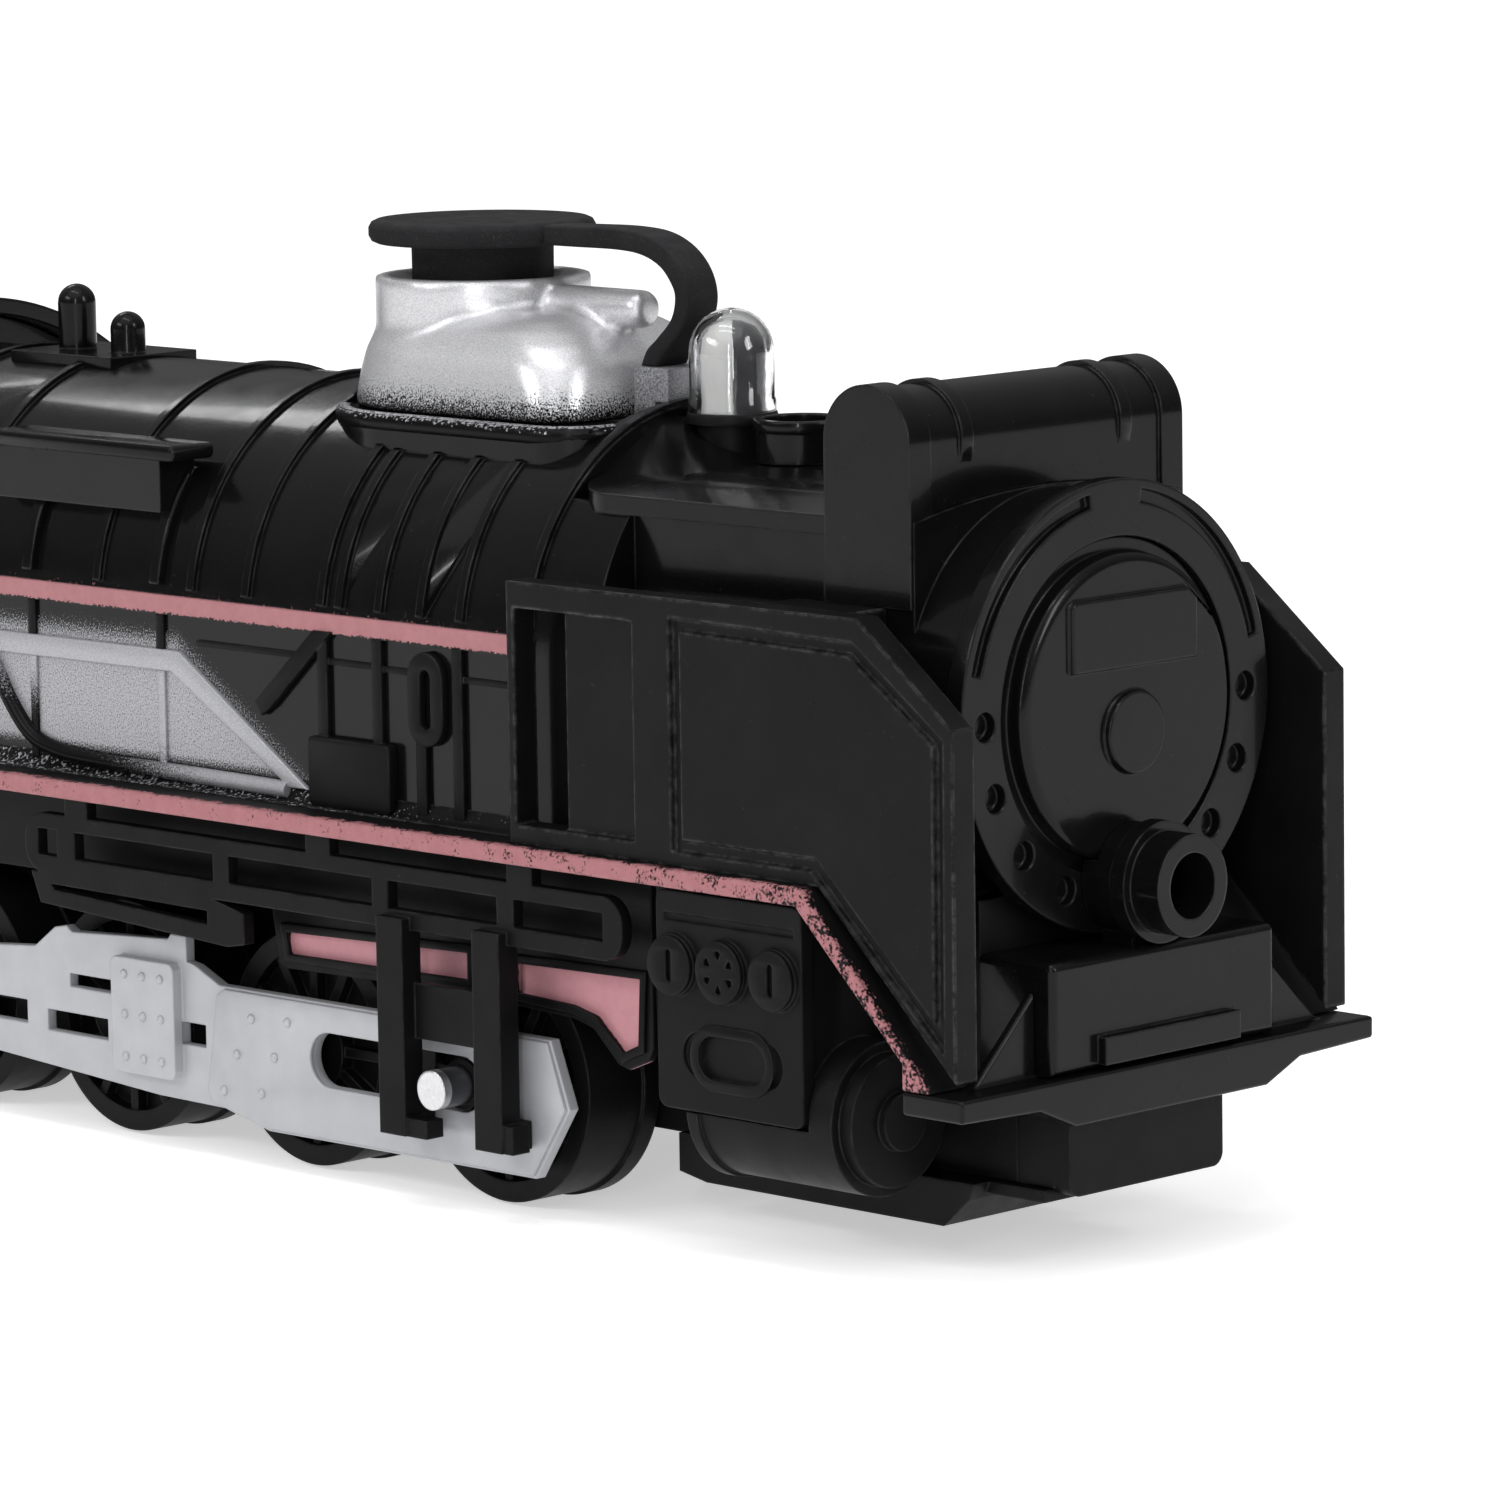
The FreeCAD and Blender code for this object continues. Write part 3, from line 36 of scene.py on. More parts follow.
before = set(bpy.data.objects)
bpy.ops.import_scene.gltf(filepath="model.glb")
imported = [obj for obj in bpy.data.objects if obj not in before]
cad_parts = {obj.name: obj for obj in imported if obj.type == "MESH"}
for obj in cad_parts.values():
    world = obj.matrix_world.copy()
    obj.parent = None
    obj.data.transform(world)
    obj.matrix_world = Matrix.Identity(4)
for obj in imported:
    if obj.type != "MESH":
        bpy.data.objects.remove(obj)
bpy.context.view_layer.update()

MM = 0.001
SIDES = {"right": -1, "left": 1}
SHEEN = 0.09
COAT_ROUGHNESS = 0.09
MOULD_GRAIN = 0.012


# ---------------------------------------------------------------- shader graphs

class Graph:
    """A material's node graph, built with short calls. Lengths in it are millimetres of the frame."""

    def __init__(self, name):
        self.material = bpy.data.materials.new(name)
        self.material.use_nodes = True
        self.tree = self.material.node_tree
        self.shader = self.tree.nodes["Principled BSDF"]
        self.shader.inputs["Specular IOR Level"].default_value = SHEEN
        coordinates = self.add("ShaderNodeTexCoord").outputs["Object"]
        scaled = self.add("ShaderNodeVectorMath", operation="SCALE")
        self.join(coordinates, scaled.inputs[0])
        scaled.inputs["Scale"].default_value = 1 / MM
        self.place = scaled.outputs[0]
        split = self.add("ShaderNodeSeparateXYZ")
        self.join(self.place, split.inputs[0])
        self.x, self.y, self.z = split.outputs[0], split.outputs[1], split.outputs[2]

    def add(self, kind, **settings):
        node = self.tree.nodes.new(kind)
        for key, value in settings.items():
            setattr(node, key, value)
        return node

    def join(self, source, target):
        self.tree.links.new(source, target)

    def feed(self, socket, value):
        """Joins a socket to another node's output, or sets its number."""
        if isinstance(value, bpy.types.NodeSocket):
            self.join(value, socket)
        else:
            socket.default_value = value

    def math(self, operation, *values):
        node = self.add("ShaderNodeMath", operation=operation)
        for socket, value in zip(node.inputs, values):
            self.feed(socket, value)
        return node.outputs[0]

    def low(self, *values):
        """The lowest of several values."""
        result = values[0]
        for value in values[1:]:
            result = self.math("MINIMUM", result, value)
        return result

    def noise(self, grain, detail=2.0, roughness=0.5, stretch=(1, 1, 1), offset=0.0):
        """Noise from 0 to 1 with features about grain millimetres across."""
        mapping = self.add("ShaderNodeMapping")
        self.join(self.place, mapping.inputs["Vector"])
        mapping.inputs["Location"].default_value = (offset, offset * 1.7, offset * 2.3)
        mapping.inputs["Scale"].default_value = stretch
        texture = self.add("ShaderNodeTexNoise")
        self.join(mapping.outputs[0], texture.inputs["Vector"])
        texture.inputs["Scale"].default_value = 1 / grain
        texture.inputs["Detail"].default_value = detail
        texture.inputs["Roughness"].default_value = roughness
        return texture.outputs["Fac"]

    def ramp(self, value, start, end, low=0.0, high=1.0):
        """Maps start..end to low..high and holds it there outside."""
        node = self.add("ShaderNodeMapRange")
        for socket, number in zip(node.inputs[:5], (value, start, end, low, high)):
            self.feed(socket, number)
        return node.outputs[0]

    def mix(self, factor, first, second):
        """Mixes two colours."""
        node = self.add("ShaderNodeMix", data_type="RGBA")
        self.feed(node.inputs[0], factor)
        for socket, value in ((node.inputs[6], first), (node.inputs[7], second)):
            self.feed(socket, value if isinstance(value, bpy.types.NodeSocket) else (*value, 1.0))
        return node.outputs[2]

    def blend(self, mask, under, over):
        """Mixes two numbers."""
        return self.math("ADD", self.math("MULTIPLY", self.math("SUBTRACT", 1.0, mask), under),
                         self.math("MULTIPLY", mask, over))

    def inside(self, *planes):
        """Signed distance in millimetres into a convex region, from (x, y, z, offset) planes."""
        distances = []
        for x, y, z, offset in planes:
            dot = self.add("ShaderNodeVectorMath", operation="DOT_PRODUCT")
            self.join(self.place, dot.inputs[0])
            dot.inputs[1].default_value = (x, y, z)
            distances.append(self.math("ADD", dot.outputs["Value"], offset))
        return self.low(*distances)

    def speckled(self, distance, reach, grain=0.2, soft=0.12):
        """A painted edge that breaks into fine speckle over reach millimetres."""
        field = self.math("DIVIDE", distance, reach)
        grains = self.ramp(self.noise(grain, 1.0), 0.25, 0.75, -0.5, 0.5)
        return self.ramp(self.math("ADD", field, grains), -soft, soft)

    def edges(self, radius):
        """How much a surface turns within radius millimetres, from 0 on flats to 1 on edges."""
        bevel = self.add("ShaderNodeBevel", samples=4)
        bevel.inputs["Radius"].default_value = radius * MM
        flat = self.add("ShaderNodeNewGeometry").outputs["Normal"]
        dot = self.add("ShaderNodeVectorMath", operation="DOT_PRODUCT")
        self.join(bevel.outputs[0], dot.inputs[0])
        self.join(flat, dot.inputs[1])
        return self.ramp(dot.outputs["Value"], 0.99, 0.8)

    def surface(self, height, depth, rounding=0.3):
        """Rounded edges and fine relief: height from 0 to 1 stands for depth millimetres."""
        bump = self.add("ShaderNodeBump")
        bump.inputs["Strength"].default_value = 1.0
        bump.inputs["Distance"].default_value = depth * MM
        self.feed(bump.inputs["Height"], height)
        if rounding:
            bevel = self.add("ShaderNodeBevel", samples=6)
            bevel.inputs["Radius"].default_value = rounding * MM
            self.join(bevel.outputs[0], bump.inputs["Normal"])
        self.join(bump.outputs[0], self.shader.inputs["Normal"])

    def finish(self, colour, roughness, metallic=0.0):
        self.feed(self.shader.inputs["Base Color"], colour)
        self.feed(self.shader.inputs["Roughness"], roughness)
        self.feed(self.shader.inputs["Metallic"], metallic)
        return self.material


BLACK_DEEP = (0.0020, 0.0020, 0.0022)
BLACK_WORN = (0.0050, 0.0050, 0.0055)
SATIN_DEEP = (0.0030, 0.0030, 0.0032)
SATIN_WORN = (0.0080, 0.0080, 0.0085)
SILVER = (0.46, 0.46, 0.48)
SILVER_SHADE = (0.32, 0.32, 0.34)
# A brighter copy of the silver for the dome: painted light.
PAINTED_LIT_DOME_SILVER = (0.74, 0.74, 0.76)
PAINTED_LIT_DOME_SILVER_DARK = (0.50, 0.50, 0.52)
PINK = (0.395, 0.175, 0.190)
PINK_SHADE = (0.29, 0.120, 0.130)
# A paler copy of the pink for the recessed valance floors: painted light.
PAINTED_LIT_VALANCE_PINK = (0.58, 0.280, 0.315)
PAINTED_LIT_VALANCE_PINK_DARK = (0.44, 0.205, 0.230)
CHIPPED_PINK = (0.62, 0.50, 0.50)
ROD_LIGHT = (0.47, 0.475, 0.50)
ROD_SHADE = (0.38, 0.385, 0.405)
# Pale grey for dust specks, and for edges, where it is partly wear and partly a painted highlight.
DUST_AND_EDGE_SHEEN_GREY = (0.085, 0.085, 0.09)


def moulded(name, deep, worn, roughness, rounding=0.3, coat=0.0, layers=None, edge_wear_and_sheen=0.5):
    """Moulded plastic with soft colour drift, smudged gloss, fine mould grain, pale dust specks and paler
    edges that are partly rubbed wear and partly a painted highlight.

    layers(graph) may return (mask, colour, roughness, metallic) coats of paint from the bottom up."""
    graph = Graph(name)
    drift = graph.noise(7.0, 3.0)
    colour = graph.mix(drift, deep, worn)
    dust = graph.ramp(graph.noise(0.55, 2.0, 0.7, offset=4.0), 0.70, 0.80, 0.0, 0.22)
    colour = graph.mix(dust, colour, DUST_AND_EDGE_SHEEN_GREY)
    # Paler edges: partly rubbed wear, partly a painted highlight where the edges catch the light.
    if edge_wear_and_sheen:
        worn_and_sheen_edges = graph.math("MULTIPLY", graph.edges(0.25), graph.ramp(graph.noise(1.8, 3.0), 0.35, 0.7))
        colour = graph.mix(graph.math("MULTIPLY", worn_and_sheen_edges, edge_wear_and_sheen), colour, DUST_AND_EDGE_SHEEN_GREY)
    smudge = graph.noise(3.2, 4.0, 0.6, offset=9.0)
    gloss = graph.ramp(smudge, 0.3, 0.7, roughness - 0.05, roughness + 0.07)
    metal = 0.0
    for mask, paint, paint_roughness, paint_metal in (layers(graph) if layers else ()):
        colour = graph.mix(mask, colour, paint)
        gloss = graph.blend(mask, gloss, paint_roughness)
        metal = graph.blend(mask, metal, paint_metal)
    graph.surface(graph.noise(0.28, 3.0, 0.6), MOULD_GRAIN, rounding)
    if coat:
        graph.shader.inputs["Coat Weight"].default_value = coat
        graph.shader.inputs["Coat Roughness"].default_value = COAT_ROUGHNESS
    return graph.finish(colour, gloss, metal)


def silver_paint(graph, shade=SILVER_SHADE, light=SILVER):
    """Sprayed silver with fine flakes."""
    flakes = graph.ramp(graph.noise(0.12, 1.0, offset=3.0), 0.3, 0.7)
    return graph.mix(flakes, shade, light)


def pink_paint(graph, shade=PINK_SHADE, light=PINK):
    """Flat pink that drifts a little in depth."""
    return graph.mix(graph.noise(1.4, 3.0, 0.65), shade, light)


def mirrored(graph):
    """Distance from the middle plane, so that one rule paints both sides."""
    return graph.math("ABSOLUTE", graph.y)


def boiler_layers(graph):
    """Silver panel low on the sides and pink on the ledge above it."""
    side = graph.math("SUBTRACT", mirrored(graph), 19.2)
    panel = graph.inside((0.0, 0.0, -1.0, 45.0), (-0.555, 0.0, -0.832, 39.7))
    panel = graph.low(panel, graph.ramp(graph.z, 34.2, 36.5, -2.0, 3.0), side)
    ledge = graph.low(graph.inside((0.0, 0.0, 1.0, -47.9), (0.0, 0.0, -1.0, 49.5)),
                      graph.math("SUBTRACT", mirrored(graph), 20.1))
    return [
        (graph.speckled(panel, 2.6, 0.16, 0.35), silver_paint(graph), 0.42, 0.45),
        (graph.speckled(graph.math("ADD", ledge, 0.08), 0.3, 0.25), pink_paint(graph), 0.5, 0.0),
    ]


def board_layers(graph):
    """Pink on the outer edge, wearing thin towards the front."""
    face = graph.math("SUBTRACT", mirrored(graph), 24.75)
    wear = graph.ramp(graph.x, 30.0, 95.0, 0.65, 0.05)
    patches = graph.ramp(graph.noise(1.6, 3.0, 0.6, offset=5.0), 0.38, 0.62, -0.5, 0.12)
    face = graph.math("ADD", face, graph.math("ADD", wear, patches))
    pink = graph.speckled(face, 1.1, 0.28, 0.2)
    chips = graph.math("MULTIPLY", graph.edges(0.3), graph.ramp(graph.noise(0.7, 3.0), 0.48, 0.56))
    chips = graph.math("MULTIPLY", chips, graph.math("MULTIPLY", pink, 0.6))
    return [(pink, pink_paint(graph), 0.5, 0.0), (chips, CHIPPED_PINK, 0.5, 0.0)]


def valance_layers(graph):
    """Pink floors of the framed openings, in a paler pink than the stripe: painted light that brightens the
    shaded recesses.
    """
    recess = graph.low(graph.math("SUBTRACT", 19.28, mirrored(graph)),
                       graph.math("SUBTRACT", mirrored(graph), 18.9),
                       graph.math("SUBTRACT", graph.x, 17.5), graph.math("SUBTRACT", 61.8, graph.x))
    paint = pink_paint(graph, PAINTED_LIT_VALANCE_PINK_DARK, PAINTED_LIT_VALANCE_PINK)
    return [(graph.speckled(recess, 0.12, 0.5), paint, 0.5, 0.0)]


def deflector_layers(graph):
    """Grey plastic worn through in patches along the plate's edges."""
    rub = graph.math("MULTIPLY", graph.edges(0.5), graph.ramp(graph.noise(1.1, 4.0, 0.7), 0.42, 0.6))
    return [(graph.math("MULTIPLY", rub, 0.30), (0.30, 0.30, 0.31), 0.5, 0.2)]


def pin_layers(graph):
    """Bare steel on the pins beyond their black bosses: the sides are painted dark, a painted reflection of
    dark surroundings, and the end faces are bright.
    """
    barrel = graph.ramp(mirrored(graph), 21.75, 21.8)
    face = graph.ramp(mirrored(graph), 24.1, 24.2)
    bright = graph.mix(graph.noise(0.3, 2.0), (0.50, 0.50, 0.51), (0.74, 0.74, 0.75))
    # The dark steel on the pin's side is a painted reflection of dark surroundings; the end face is bright
    # steel.
    return [(barrel, graph.mix(face, (0.10, 0.10, 0.105), bright), 0.28, 1.0)]


def dome_layers(graph):
    """Silver over the black moulding, breaking up towards the foot, in a brighter copy of the panels' silver:
    painted light.
    """
    height = graph.math("SUBTRACT", graph.z, 67.4)
    paint = silver_paint(graph, PAINTED_LIT_DOME_SILVER_DARK, PAINTED_LIT_DOME_SILVER)
    return [(graph.speckled(height, 3.4, 0.16, 0.25), paint, 0.33, 0.62)]


def anchor_layers(graph):
    """Thin silver overspray on the strap's anchor block."""
    block = graph.low(graph.math("SUBTRACT", graph.z, 67.0), graph.math("SUBTRACT", graph.x, 43.9),
                      graph.math("SUBTRACT", 2.8, mirrored(graph)))
    return [(graph.speckled(graph.math("ADD", block, -0.2), 3.0, 0.16, 0.7), silver_paint(graph), 0.42, 0.5)]


def skirt_layers(graph):
    """The same silver as the panel behind, black again low down where the sprayed paint missed."""
    low = graph.inside((0.30, 0.0, 0.954, -33.0))
    return [(graph.speckled(graph.math("ADD", low, -0.6), 3.4, 0.16, 0.45), silver_paint(graph), 0.42, 0.45)]


def overspray_and_sheen_layers(graph):
    """Faint silver speckle at the foot of the boiler's side, thinner towards the front: partly overspray,
    partly a painted reflection along the fillet.
    """
    # Partly overspray, partly a painted reflection on the fillet.
    spray_and_sheen = graph.ramp(graph.x, 45.0, 10.0, -1.2, -0.5)
    return [(graph.speckled(spray_and_sheen, 2.2, 0.3), silver_paint(graph), 0.45, 0.5)]


def lip_layers(graph):
    """Silver overspray along the collar's upper edge."""
    height = graph.math("SUBTRACT", graph.z, 65.9)
    return [(graph.speckled(height, 1.0, 0.3), silver_paint(graph), 0.42, 0.5)]


def steel(name, tint, roughness, stretch=(1, 1, 1)):
    """Plated or turned steel with fine lines."""
    graph = Graph(name)
    lines = graph.noise(0.25, 3.0, 0.7, stretch)
    colour = graph.mix(lines, tuple(0.8 * part for part in tint), tint)
    graph.surface(lines, 0.01, 0.15)
    gloss = graph.ramp(graph.noise(1.2, 3.0), 0.3, 0.7, roughness - 0.06, roughness + 0.08)
    return graph.finish(colour, gloss, 1.0)


def rubber():
    """Matte charcoal rubber, paler in patches on faces that look up."""
    graph = Graph("rubber")
    normal = graph.add("ShaderNodeNewGeometry").outputs["Normal"]
    split = graph.add("ShaderNodeSeparateXYZ")
    graph.join(normal, split.inputs[0])
    upward = graph.ramp(split.outputs[2], 0.3, 1.0)
    upward_pale_patches = graph.math("MULTIPLY", upward, graph.ramp(graph.noise(1.6, 4.0), 0.3, 0.75, 0.3, 1.0))
    colour = graph.mix(graph.noise(4.0, 2.0), (0.010, 0.010, 0.011), (0.017, 0.017, 0.018))
    colour = graph.mix(graph.math("MULTIPLY", upward_pale_patches, 0.5), colour, (0.055, 0.055, 0.058))
    grains = graph.ramp(graph.noise(0.14, 1.0, offset=5.0), 0.62, 0.72, 0.0, 0.35)
    colour = graph.mix(grains, colour, (0.06, 0.06, 0.063))
    graph.surface(graph.noise(0.16, 3.0, 0.6), 0.03, 0.45)
    return graph.finish(colour, graph.ramp(graph.noise(1.5), 0.3, 0.7, 0.72, 0.86))


def clear_plastic():
    """Clear moulded plastic with a faint haze."""
    graph = Graph("clear_plastic")
    graph.shader.inputs["Transmission Weight"].default_value = 1.0
    graph.shader.inputs["IOR"].default_value = 1.47
    graph.surface(graph.noise(1.1, 2.0), 0.02, 0.0)
    colour = graph.mix(graph.noise(2.0), (0.93, 0.94, 0.95), (0.99, 0.99, 0.99))
    return graph.finish(colour, graph.ramp(graph.noise(1.0, 3.0), 0.3, 0.7, 0.02, 0.07))


def tinted(name, first, second, roughness, grain=2.0, metallic=0.0, rounding=0.25):
    """A plain moulded or printed finish with drifting colour and fine relief."""
    graph = Graph(name)
    colour = graph.mix(graph.noise(grain, 3.0), first, second)
    graph.surface(graph.noise(0.3, 2.0), 0.015, rounding)
    gloss = graph.ramp(graph.noise(1.7, 3.0, offset=2.0), 0.3, 0.7, roughness - 0.05, roughness + 0.08)
    return graph.finish(colour, gloss, metallic)


finishes = {
    "body_black": moulded("body_black", BLACK_DEEP, BLACK_WORN, 0.22, coat=0.16),
    "satin_black": moulded("satin_black", SATIN_DEEP, SATIN_WORN, 0.42),
    "pins": moulded("pins", SATIN_DEEP, SATIN_WORN, 0.30, layers=pin_layers, edge_wear_and_sheen=0.0),
    "boiler": moulded("boiler", BLACK_DEEP, BLACK_WORN, 0.18, coat=0.22, layers=boiler_layers),
    "board": moulded("board", SATIN_DEEP, SATIN_WORN, 0.40, layers=board_layers),
    "valance": moulded("valance", SATIN_DEEP, SATIN_WORN, 0.40, rounding=0.2, layers=valance_layers),
    "deflector": moulded("deflector", SATIN_DEEP, SATIN_WORN, 0.36, layers=deflector_layers),
    "dome": moulded("dome", BLACK_DEEP, BLACK_WORN, 0.30, rounding=0.8, layers=dome_layers, edge_wear_and_sheen=0.0),
    "dome_base": moulded("dome_base", BLACK_DEEP, BLACK_WORN, 0.22, layers=anchor_layers, coat=0.16),
    "rod": tinted("rod", ROD_SHADE, ROD_LIGHT, 0.40, 3.0, metallic=0.25),
    "steel": steel("steel", (0.62, 0.62, 0.63), 0.28),
    "rubber": rubber(),
    "clear": clear_plastic(),
    "lamp_white": tinted("lamp_white", (0.70, 0.70, 0.68), (0.80, 0.80, 0.78), 0.35),
    "nylon": tinted("nylon", (0.68, 0.67, 0.62), (0.78, 0.77, 0.73), 0.45),
    "motor": steel("motor", (0.55, 0.55, 0.56), 0.35, (1, 4, 1)),
    "cells": tinted("cells", (0.10, 0.10, 0.11), (0.16, 0.16, 0.17), 0.30),
    "board_green": tinted("board_green", (0.01, 0.09, 0.04), (0.02, 0.13, 0.06), 0.35),
    "skirt": moulded("skirt", BLACK_DEEP, BLACK_WORN, 0.30, rounding=0.15, layers=skirt_layers, edge_wear_and_sheen=0.0),
    "board_overspray_and_sheen": moulded("board_overspray_and_sheen", SATIN_DEEP, SATIN_WORN, 0.35, layers=overspray_and_sheen_layers),
    "lip": moulded("lip", BLACK_DEEP, BLACK_WORN, 0.28, layers=lip_layers),
    "painted_shade_grey": tinted("painted_shade_grey", (0.05, 0.05, 0.053), (0.09, 0.09, 0.095), 0.30),
    "tank": tinted("tank", (0.42, 0.43, 0.45), (0.50, 0.51, 0.53), 0.40),
}

NODE_FINISH = {
    "boiler_shell": "boiler", "steam_dome": "dome", "dome_base": "dome_base", "lamp_lens": "clear",
    "lamp_holder": "lamp_white", "filler_plug": "rubber", "plug_strap": "rubber", "motor_case": "motor",
    "battery_cells": "cells", "circuit_board": "board_green", "smoke_tank": "tank", "axle_gear": "nylon",
    "idler_gear": "nylon", "motor_pinion": "nylon", "body_screws": "steel",
}
# Finishes of nodes that come in sets, by the name without its last word.
SET_FINISH = {
    "running_board": "board", "frame_valance": "valance", "smoke_deflector": "deflector", "side_rod": "rod",
    "crank_pins": "pins", "axle": "steel",
}
GLOSSY = ("smokebox_casing", "smokebox_ring", "smokebox_door", "front_lamp", "chimney", "feedwater_heater",
          "safety_valves", "buffer_box", "front_beam", "cab_shell", "cab_roof")
# Corner radii in millimetres of the mouldings whose soft edges show.
ROUNDED = {
    "feedwater_heater": 0.8, "buffer_box": 0.35, "front_beam": 0.3, "running_board": 0.25,
    "smoke_deflector": 0.15, "valve_cover": 0.25, "valve_gear_guide": 0.25, "frame_valance": 0.15,
    "smokebox_casing": 1.2, "smokebox_ring": 0.3, "smokebox_door": 0.2, "side_rod": 0.12, "front_lamp": 0.35,
    "chimney": 0.2, "coupler_pocket": 0.4, "pilot_plate": 0.4, "cylinder_casting": 0.3, "safety_valves": 0.3,
    "cab_shell": 0.25, "cab_roof": 0.25, "boiler_shell": 0.2, "dome_base": 0.3,
}
WELD_REACH = 0.002
FLAT_ANGLE = 0.5
SHARP_EDGE = 40


def round_edges(thing, width):
    """Rounds the sharp edges of an object by width millimetres."""
    bevel = thing.modifiers.new("soften", "BEVEL")
    bevel.width = width * MM
    bevel.segments = 2
    bevel.limit_method = "ANGLE"
    bevel.angle_limit = math.radians(SHARP_EDGE)


def soften_moulding(node, width):
    """Joins a CAD node's facets into whole faces, then rounds its edges and keeps its flats flat."""
    node.modifiers.new("weld", "WELD").merge_threshold = WELD_REACH * MM
    merge = node.modifiers.new("merge", "DECIMATE")
    merge.decimate_type = "DISSOLVE"
    merge.angle_limit = math.radians(FLAT_ANGLE)
    round_edges(node, width)
    node.modifiers.new("shade", "WEIGHTED_NORMAL").weight = 90


for name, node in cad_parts.items():
    set_name = name.rsplit("_", 1)[0]
    if name in NODE_FINISH:
        key = NODE_FINISH[name]
    elif name in GLOSSY:
        key = "body_black"
    else:
        key = SET_FINISH.get(set_name, "satin_black")
    node.data.materials.clear()
    node.data.materials.append(finishes[key])
    width = ROUNDED.get(name, ROUNDED.get(set_name))
    if width:
        soften_moulding(node, width)


# ---------------------------------------------------------------- mesh building

def outline_mesh(loops, thickness, edge):
    """Fills flat loops, holes included, and gives them thickness with a rounded edge."""
    curve = bpy.data.curves.new("outline", "CURVE")
    curve.dimensions = "2D"
    curve.fill_mode = "BOTH"
    for loop in loops:
        spline = curve.splines.new("POLY")
        spline.points.add(len(loop) - 1)
        for point, (u, v) in zip(spline.points, loop):
            point.co = (u, v, 0.0, 1.0)
        spline.use_cyclic_u = True
    curve.extrude = thickness / 2 - edge
    curve.bevel_depth = edge
    curve.bevel_resolution = 1
    holder = bpy.data.objects.new("outline", curve)
    bpy.context.scene.collection.objects.link(holder)
    mesh = bpy.data.meshes.new_from_object(holder.evaluated_get(bpy.context.evaluated_depsgraph_get()))
    bpy.data.objects.remove(holder)
    bpy.data.curves.remove(curve)
    return mesh


def circle(x, y, radius, steps=28, start=0.0, end=360.0):
    """Points on a circle or on part of one."""
    whole = end - start >= 360.0
    count = steps if whole else steps + 1
    return [(x + radius * math.cos(math.radians(start + (end - start) * step / steps)),
             y + radius * math.sin(math.radians(start + (end - start) * step / steps)))
            for step in range(count)]


def pill(x, y, half_width, half_height):
    """An upright slot shape with round ends."""
    reach = half_height - half_width
    return (circle(x, y + reach, half_width, 10, 0.0, 180.0)
            + circle(x, y - reach, half_width, 10, 180.0, 359.9))


def rounded_box(x, y, radius):
    """A rectangle with round corners, from (low, high) pairs."""
    corners = ((x[1], y[1], 0), (x[0], y[1], 90), (x[0], y[0], 180), (x[1], y[0], 270))
    points = []
    for corner_x, corner_y, start in corners:
        centre_x = corner_x + (radius if corner_x == x[0] else -radius)
        centre_y = corner_y + (radius if corner_y == y[0] else -radius)
        points += circle(centre_x, centre_y, radius, 5, start, start + 90)
    return points


def smooth_path(points, steps=8):
    """A smooth line through points."""
    points = [Vector(point) for point in points]
    line = []
    for number in range(len(points) - 1):
        before = points[max(number - 1, 0)]
        first, second = points[number], points[number + 1]
        after = points[min(number + 2, len(points) - 1)]
        for step in range(steps):
            t = step / steps
            line.append(0.5 * (2 * first + (second - before) * t
                               + (2 * before - 5 * first + 4 * second - after) * t * t
                               + (3 * first - before - 3 * second + after) * t * t * t))
    line.append(points[-1])
    return line


